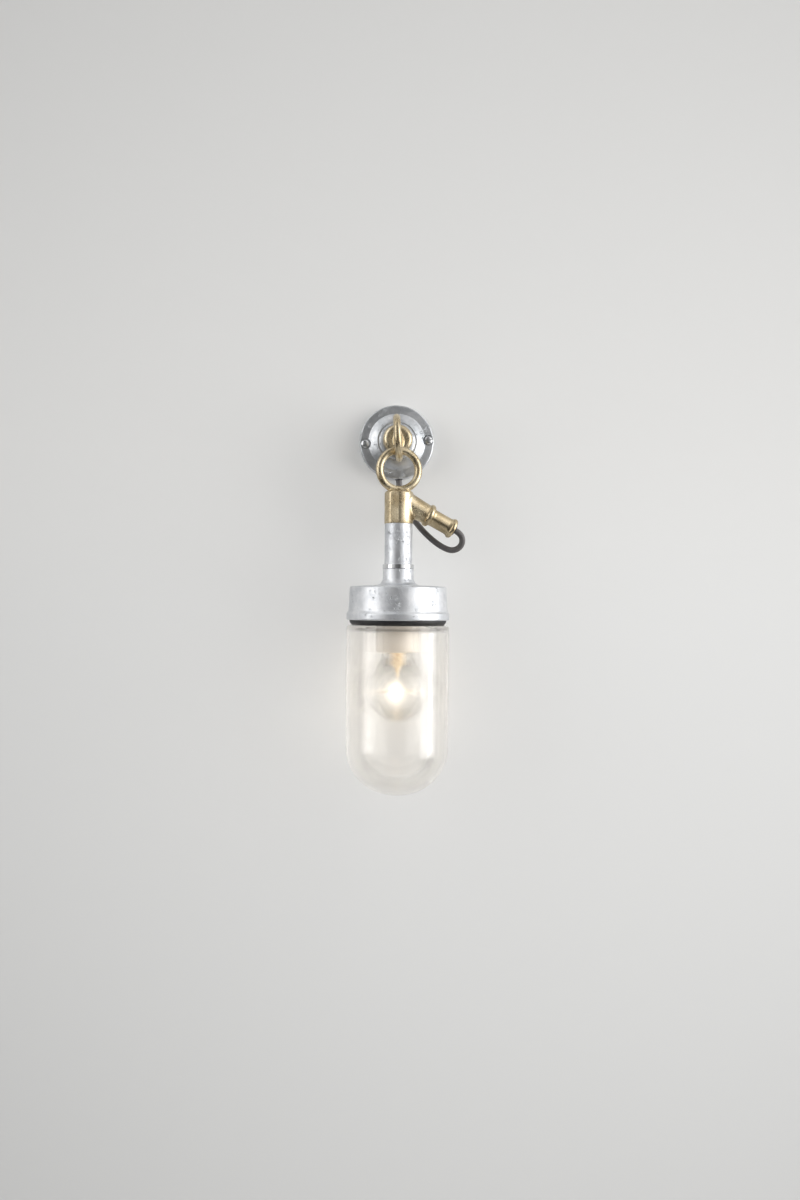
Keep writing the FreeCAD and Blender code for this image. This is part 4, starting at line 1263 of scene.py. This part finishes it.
@dataclass
class Lamp(Builder):
    """The clear bulb: envelope, threaded cap, contact, glass stem and lit filament."""

    body: str = "bulb"
    ball: float = 0.0604
    bottom: float = -0.2774
    neck: float = 0.0284
    blend: float = 0.0300
    wall: float = 0.0007
    neck_top: float = -0.2003
    cap: float = 0.0264
    blend_steps: int = 14
    ball_steps: int = 40
    cap_fit: float = 0.0001
    cap_edge: float = 0.0006
    cap_drop: float = 0.0004
    brim: float = 0.003
    brim_drop: float = 0.0024
    black_glass: float = 0.0034
    black_inset: float = 0.0010
    black_edge: float = 0.0008
    cap_turns: int = 6
    cap_wave: float = 0.0005
    skirt_low: float = 0.0012
    skirt_high: float = 0.0022
    shell_top: float = -0.1763
    top: float = -0.1719
    contact: float = 0.0096
    contact_thick: float = 0.0010
    pitch: float = 0.0036
    filament_height: float = -0.2482
    filament_spread: float = 0.0110
    filament_sag: float = 0.0060
    filament_width: float = 0.0011
    wire: float = 0.00018
    coils: int = 46
    glow: Spot = (0.0092, 0.0092, 0.0116)
    glow_drop: float = 0.0006
    glow_strength: float = 420.0
    glow_colour: Colour = (1.0, 0.93, 0.80)
    spot: Spot = (0.0048, 0.0048, 0.0056)
    spot_reach: float = 0.0166
    spot_strength: float = 260.0
    light_power: float = 0.045
    light_size: float = 0.004
    light_colour: Colour = (1.0, 0.74, 0.45)

    def build(self) -> None:
        """Builds the bulb from its contact down to its filament."""
        hang = self.site.hang()
        envelope = placed(spun("bulb_envelope", self.outline()), hang)
        self.finished(envelope, "thin_glass", "bulb_glass", ["bulb_glass"], smooth=60)
        self.screw_cap(hang)
        self.filament(hang)
        # The glass stem is dressed in a painted glow, which stands in for the filament's light falling on
        # it.
        self.dress(bulb_stem="stem_painted_glow", bulb_leads="plated", bulb_supports="plated",
                   bulb_contact="shell_brass")
        self.shine(hang)

    def outline(self) -> list[Point]:
        """The envelope's outer line down from the neck, and its inner line back up."""
        ball, neck = self.ball / 2, self.neck / 2 + self.blend
        ball_z = self.bottom + ball
        rise = math.sqrt((ball + self.blend) ** 2 - neck ** 2)
        turn = math.degrees(math.atan2(rise, neck))
        lines = []
        for inset in (0, self.wall):
            line = [(self.neck / 2 - inset, self.neck_top)]
            line += arc((neck, ball_z + rise), self.blend + inset, 180, 180 + turn, self.blend_steps)
            line += arc((0, ball_z), ball - inset, turn, -90, self.ball_steps)[1:]
            lines.append([(max(x, 0.0), z) for x, z in line])
        return lines[0] + lines[1][::-1]

    def screw_cap(self, place: Matrix) -> None:
        """Models the threaded cap, its skirt and its black glass."""
        radius, contact = self.cap / 2, self.contact / 2
        outer, low = radius - self.cap_fit, self.neck_top + self.skirt_high
        cap = joined("bulb_cap_rolled", [
            threaded("bulb_cap_rolled", outer, low, self.pitch, self.cap_turns, self.cap_wave),
            spun("bulb_cap_skirt", [(self.neck / 2, self.neck_top),
                                    (self.neck / 2, self.neck_top + self.skirt_low), (outer, low)]),
            spun("bulb_cap_head", [(radius - self.cap_edge, self.shell_top - self.cap_drop),
                                   (contact + self.brim, self.top - self.brim_drop)]),
        ])
        apply(cap, "SOLIDIFY", thickness=SHEET, offset=-1)
        placed(cap, place)
        self.finished(cap, "lamp_alloy", "bulb_cap_metal", ["bulb_cap"], smooth=60, along=place)
        seat = self.top - self.contact_thick
        glass = spun("bulb_cap_glass", rounded([
            (0, self.top - self.black_glass, 0),
            (radius - self.black_inset, self.shell_top - self.cap_edge, self.cap_edge),
            (contact + self.black_edge, seat, self.black_edge), (0, seat, 0),
        ]), steps=72)
        self.finished(placed(glass, place), "rubber", "bulb_cap_metal")

    def filament(self, place: Matrix) -> None:
        """Winds the filament, then bends it to its bow."""
        span = 2 * self.filament_spread
        wire = ridge("filament_coil", self.filament_width / 2 - self.wire, -span / 2,
                     span / self.coils, self.coils, self.wire, sides=7, steps=12)
        placed(wire, turned(90, Axis.Y))
        radius = (self.filament_spread ** 2 + self.filament_sag ** 2) / (2 * self.filament_sag)
        for vertex in wire.data.vertices:
            angle = vertex.co.x / radius
            reach = radius + vertex.co.y
            vertex.co.x = reach * math.sin(angle)
            vertex.co.y = reach * math.cos(angle) - (radius - self.filament_sag)
            vertex.co.z += self.filament_height
        placed(wire, place)
        self.finished(wire, "hot", "filament", ["filament"])

    def halo(self, name: str, middle: Vector, reach: Spot, strength: float) -> None:
        """Adds one soft glow.

        Args:
            name: The piece's name.
            middle: Where it is brightest.
            reach: How far it goes along each axis.
            strength: How bright its middle is.
        """
        clear()
        bpy.ops.mesh.primitive_ico_sphere_add(subdivisions=4, radius=1, location=middle, scale=reach)
        ball = settled(name)
        glare = Glare(name, self.glow_colour, tuple(middle), reach, strength)
        self.finished(ball, glare.build(), "filament")

    def shine(self, place: Matrix) -> None:
        """Adds the glow round the filament and at its sides, and the light that it throws."""
        bow = self.filament_sag * 0.6
        height = self.filament_height - self.glow_drop
        self.halo("filament_glow", place @ Vector((0, bow, height)), self.glow, self.glow_strength)
        for index, side in enumerate((-1, 1)):
            middle = place @ Vector((side * self.spot_reach, 0, height))
            self.halo(f"side_glow_{index + 1}", middle, self.spot, self.spot_strength)
        data = bpy.data.lights.new("lamp_light", "POINT")
        data.energy = self.light_power
        data.color = self.light_colour
        data.shadow_soft_size = self.light_size
        light = shown("lamp_light", data)
        light.location = place @ Vector((0, bow, self.filament_height))
        light.visible_camera = False
        light.visible_glossy = False
        light.visible_transmission = False
        light.parent = frame["bodies"][self.body]


@dataclass
class Studio:
    """The wall, the floor, the lamps and the camera."""

    camera_place: Spot = (-0.0538, -1.055, -0.160)
    camera_yaw: float = 3.2
    camera_roll: float = 0.5
    lens: float = 30.93
    sensor: float = 36.0
    wall_gap: float = 0.0004
    floor: float = -1.45
    reach: float = 6.0
    wall_colour: Colour = (0.96, 0.96, 0.951)
    pale: Colour = (1.0, 1.0, 0.99)
    black: Colour = (0.0, 0.0, 0.0)
    # The wall's painted light: its own glow, its slope from left to right and its fade away from
    # wall_bright.
    wall_glow: float = 0.745
    wall_slope: float = 0.26
    wall_slope_ends: Span = (-0.5, 0.5)
    wall_shares: Span = (0.62, 0.16)
    wall_heights: Span = (-0.18, -0.01)
    wall_fade: Span = (0.25, 0.345)
    wall_bright: Point = (0.05, -0.10)
    fade_power: float = 1.5
    paint_roughness: float = 0.95
    paint_specular: float = 0.1
    fade_limit: float = 0.38
    floor_shade: float = 0.30
    room_colour: Colour = (0.80, 0.80, 0.79)
    room_tint: Colour = (1.0, 0.995, 0.985)
    room_strengths: Span = (3.1, 2.2)
    room_heights: Span = (0.3, 0.85)
    room_levels: tuple[Point, ...] = (
        (-180, 0.26), (-81, 0.24), (-76, 0.92), (-56, 0.92), (-51, 0.30), (-34, 0.23), (-21, 0.07),
        (10, 0.035), (20, 0.20), (32, 0.36), (56, 0.56), (180, 0.28))
    key_power: float = 62.0
    key_size: Span = (2.6, 3.0)
    key_place: Spot = (2.87, -0.93, 0.10)
    aim: Spot = (0.0, -0.05, -0.16)

    def build(self) -> None:
        """Sets up everything that isn't the object."""
        self.backdrop()
        self.room_light()
        self.key()
        self.camera()
        bpy.context.scene.view_settings.view_transform = "Standard"

    def backdrop(self) -> None:
        """Makes the pale wall, which can't be seen from behind, and the floor."""
        for name, place, lean in (("wall", (0, self.wall_gap, 0), 90), ("floor", (0, 0, self.floor), 0)):
            clear()
            bpy.ops.mesh.primitive_plane_add(size=2 * self.reach, location=place,
                                             rotation=(math.radians(lean), 0, 0))
            sheet = bpy.context.object
            sheet.name = f"backdrop_{name}"
            sheet.data.materials.append(self.paint(f"{name}_paint", lit=name == "wall"))

    def paint(self, name: str, lit: bool) -> Material:
        """Makes a matt paint, clear from behind, that fades softly away from its brightest place.

        Args:
            name: The material's name.
            lit: Whether the paint shows some brightness of its own, which softens shadows on it.

        Returns:
            The material.
        """
        finish = Finish(name)
        board = finish.board
        parts = board.add("ShaderNodeSeparateXYZ", {0: finish.vector})
        # The fade is a painted falloff of light: the paint darkens away from its brightest place, across and
        # up or down.
        across = board.sum(parts.outputs["X"], self.wall_bright[0], "SUBTRACT")
        up = board.sum(board.sum(parts.outputs["Y"], self.wall_bright[1], "SUBTRACT"), 0.0, "ABSOLUTE")
        fade = board.sum(board.times(board.times(across, across), self.wall_fade[0]),
                         board.times(board.sum(up, self.fade_power, "POWER"), self.wall_fade[1]))
        path = board.add("ShaderNodeLightPath").outputs
        looked = board.sum(path["Is Camera Ray"], path["Is Transmission Ray"], "MAXIMUM")
        if lit:
            share = board.ranged(fade, 0.0, self.fade_limit, 0.0, self.fade_limit)
        else:
            share = board.sum(board.times(fade, board.sum(1.0, looked, "SUBTRACT")),
                              board.times(looked, self.floor_shade))
        tone = board.mixed(share, self.wall_colour, self.black)
        matt = board.add("ShaderNodeBsdfPrincipled", {
            "Base Color": tone, "Roughness": self.paint_roughness,
            "Specular IOR Level": self.paint_specular})
        if lit:
            # Painted light: the wall's own glow brightens from left to right, as the window on the right
            # would light it, and takes a larger share low down, where it softens the shadows.
            slope = board.ranged(parts.outputs["X"], *self.wall_slope_ends,
                                 self.wall_glow * (1 - self.wall_slope / 2),
                                 self.wall_glow * (1 + self.wall_slope / 2))
            glow = board.add("ShaderNodeEmission", {"Color": board.mixed(share, self.pale, self.black),
                                                    "Strength": slope})
            seen = board.sum(looked, path["Is Glossy Ray"], "MAXIMUM")
            part = board.ranged(parts.outputs["Y"], *self.wall_heights, *self.wall_shares)
            matt = board.blended(board.times(seen, part), matt, glow)
        side = board.add("ShaderNodeNewGeometry").outputs["Backfacing"]
        return finish.ended(board.blended(side, matt, board.add("ShaderNodeBsdfTransparent")))

    def room_light(self) -> None:
        """Makes the room's soft light: bright to the left and right, dark behind the camera."""
        world = bpy.data.worlds.new("room")
        world.use_nodes = True
        bpy.context.scene.world = world
        board = NodeBoard(world.node_tree)
        parts = board.add("ShaderNodeSeparateXYZ", {0: board.add("ShaderNodeTexCoord").outputs["Generated"]})
        angle = board.sum(parts.outputs["X"], board.times(parts.outputs["Y"], -1.0), "ARCTAN2")
        ramp = board.add("ShaderNodeValToRGB", {0: board.ranged(angle, -math.pi, math.pi)})
        while len(ramp.color_ramp.elements) < len(self.room_levels):
            ramp.color_ramp.elements.new(0.5)
        for element, (degrees, level) in zip(ramp.color_ramp.elements, self.room_levels):
            element.position = (degrees + 180) / 360
            element.color = (*(level * tint for tint in self.room_tint), 1)
        rise = board.sum(parts.outputs["Z"], 0.0, "ABSOLUTE")
        level = board.ranged(rise, *self.room_heights, *self.room_strengths)
        room = board.add("ShaderNodeBackground", {"Color": ramp.outputs["Color"], "Strength": level})
        seen = board.add("ShaderNodeBackground", {"Color": self.room_colour, "Strength": 1.0})
        looked = board.add("ShaderNodeLightPath").outputs["Is Camera Ray"]
        board.add("ShaderNodeOutputWorld", {"Surface": board.blended(looked, room, seen).outputs[0]})

    def key(self) -> None:
        """Hangs the tall window of light on the right."""
        data = bpy.data.lights.new("window_light", "AREA")
        data.shape = "RECTANGLE"
        data.size, data.size_y = self.key_size
        data.energy = self.key_power
        data.color = self.room_tint
        light = shown("window_light", data)
        light.location = self.key_place
        light.rotation_euler = (Vector(self.aim) - light.location).to_track_quat("-Z", "Y").to_euler()

    def camera(self) -> None:
        """Stands the camera where the photograph was taken from."""
        data = bpy.data.cameras.new("camera")
        data.lens = self.lens
        data.sensor_width = self.sensor
        camera = shown("camera", data)
        camera.matrix_world = (Matrix.Translation(self.camera_place) @ turned(-self.camera_yaw, Axis.Z)
                               @ turned(90, Axis.X) @ turned(self.camera_roll, Axis.Z))
        bpy.context.scene.camera = camera


def main() -> None:
    """Builds the studio, the flex and each sub-assembly in order."""
    logging.basicConfig(level=logging.INFO, format="%(message)s")
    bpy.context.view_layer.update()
    site = Site()
    palette = Palette()
    Studio().build()
    for builder in (FreeFlex, WallSet, BranchSet, StemAndCap, Lampholder, GlassSet, Lamp):
        builder(palette, site).build()


if __name__ == "__main__":
    main()
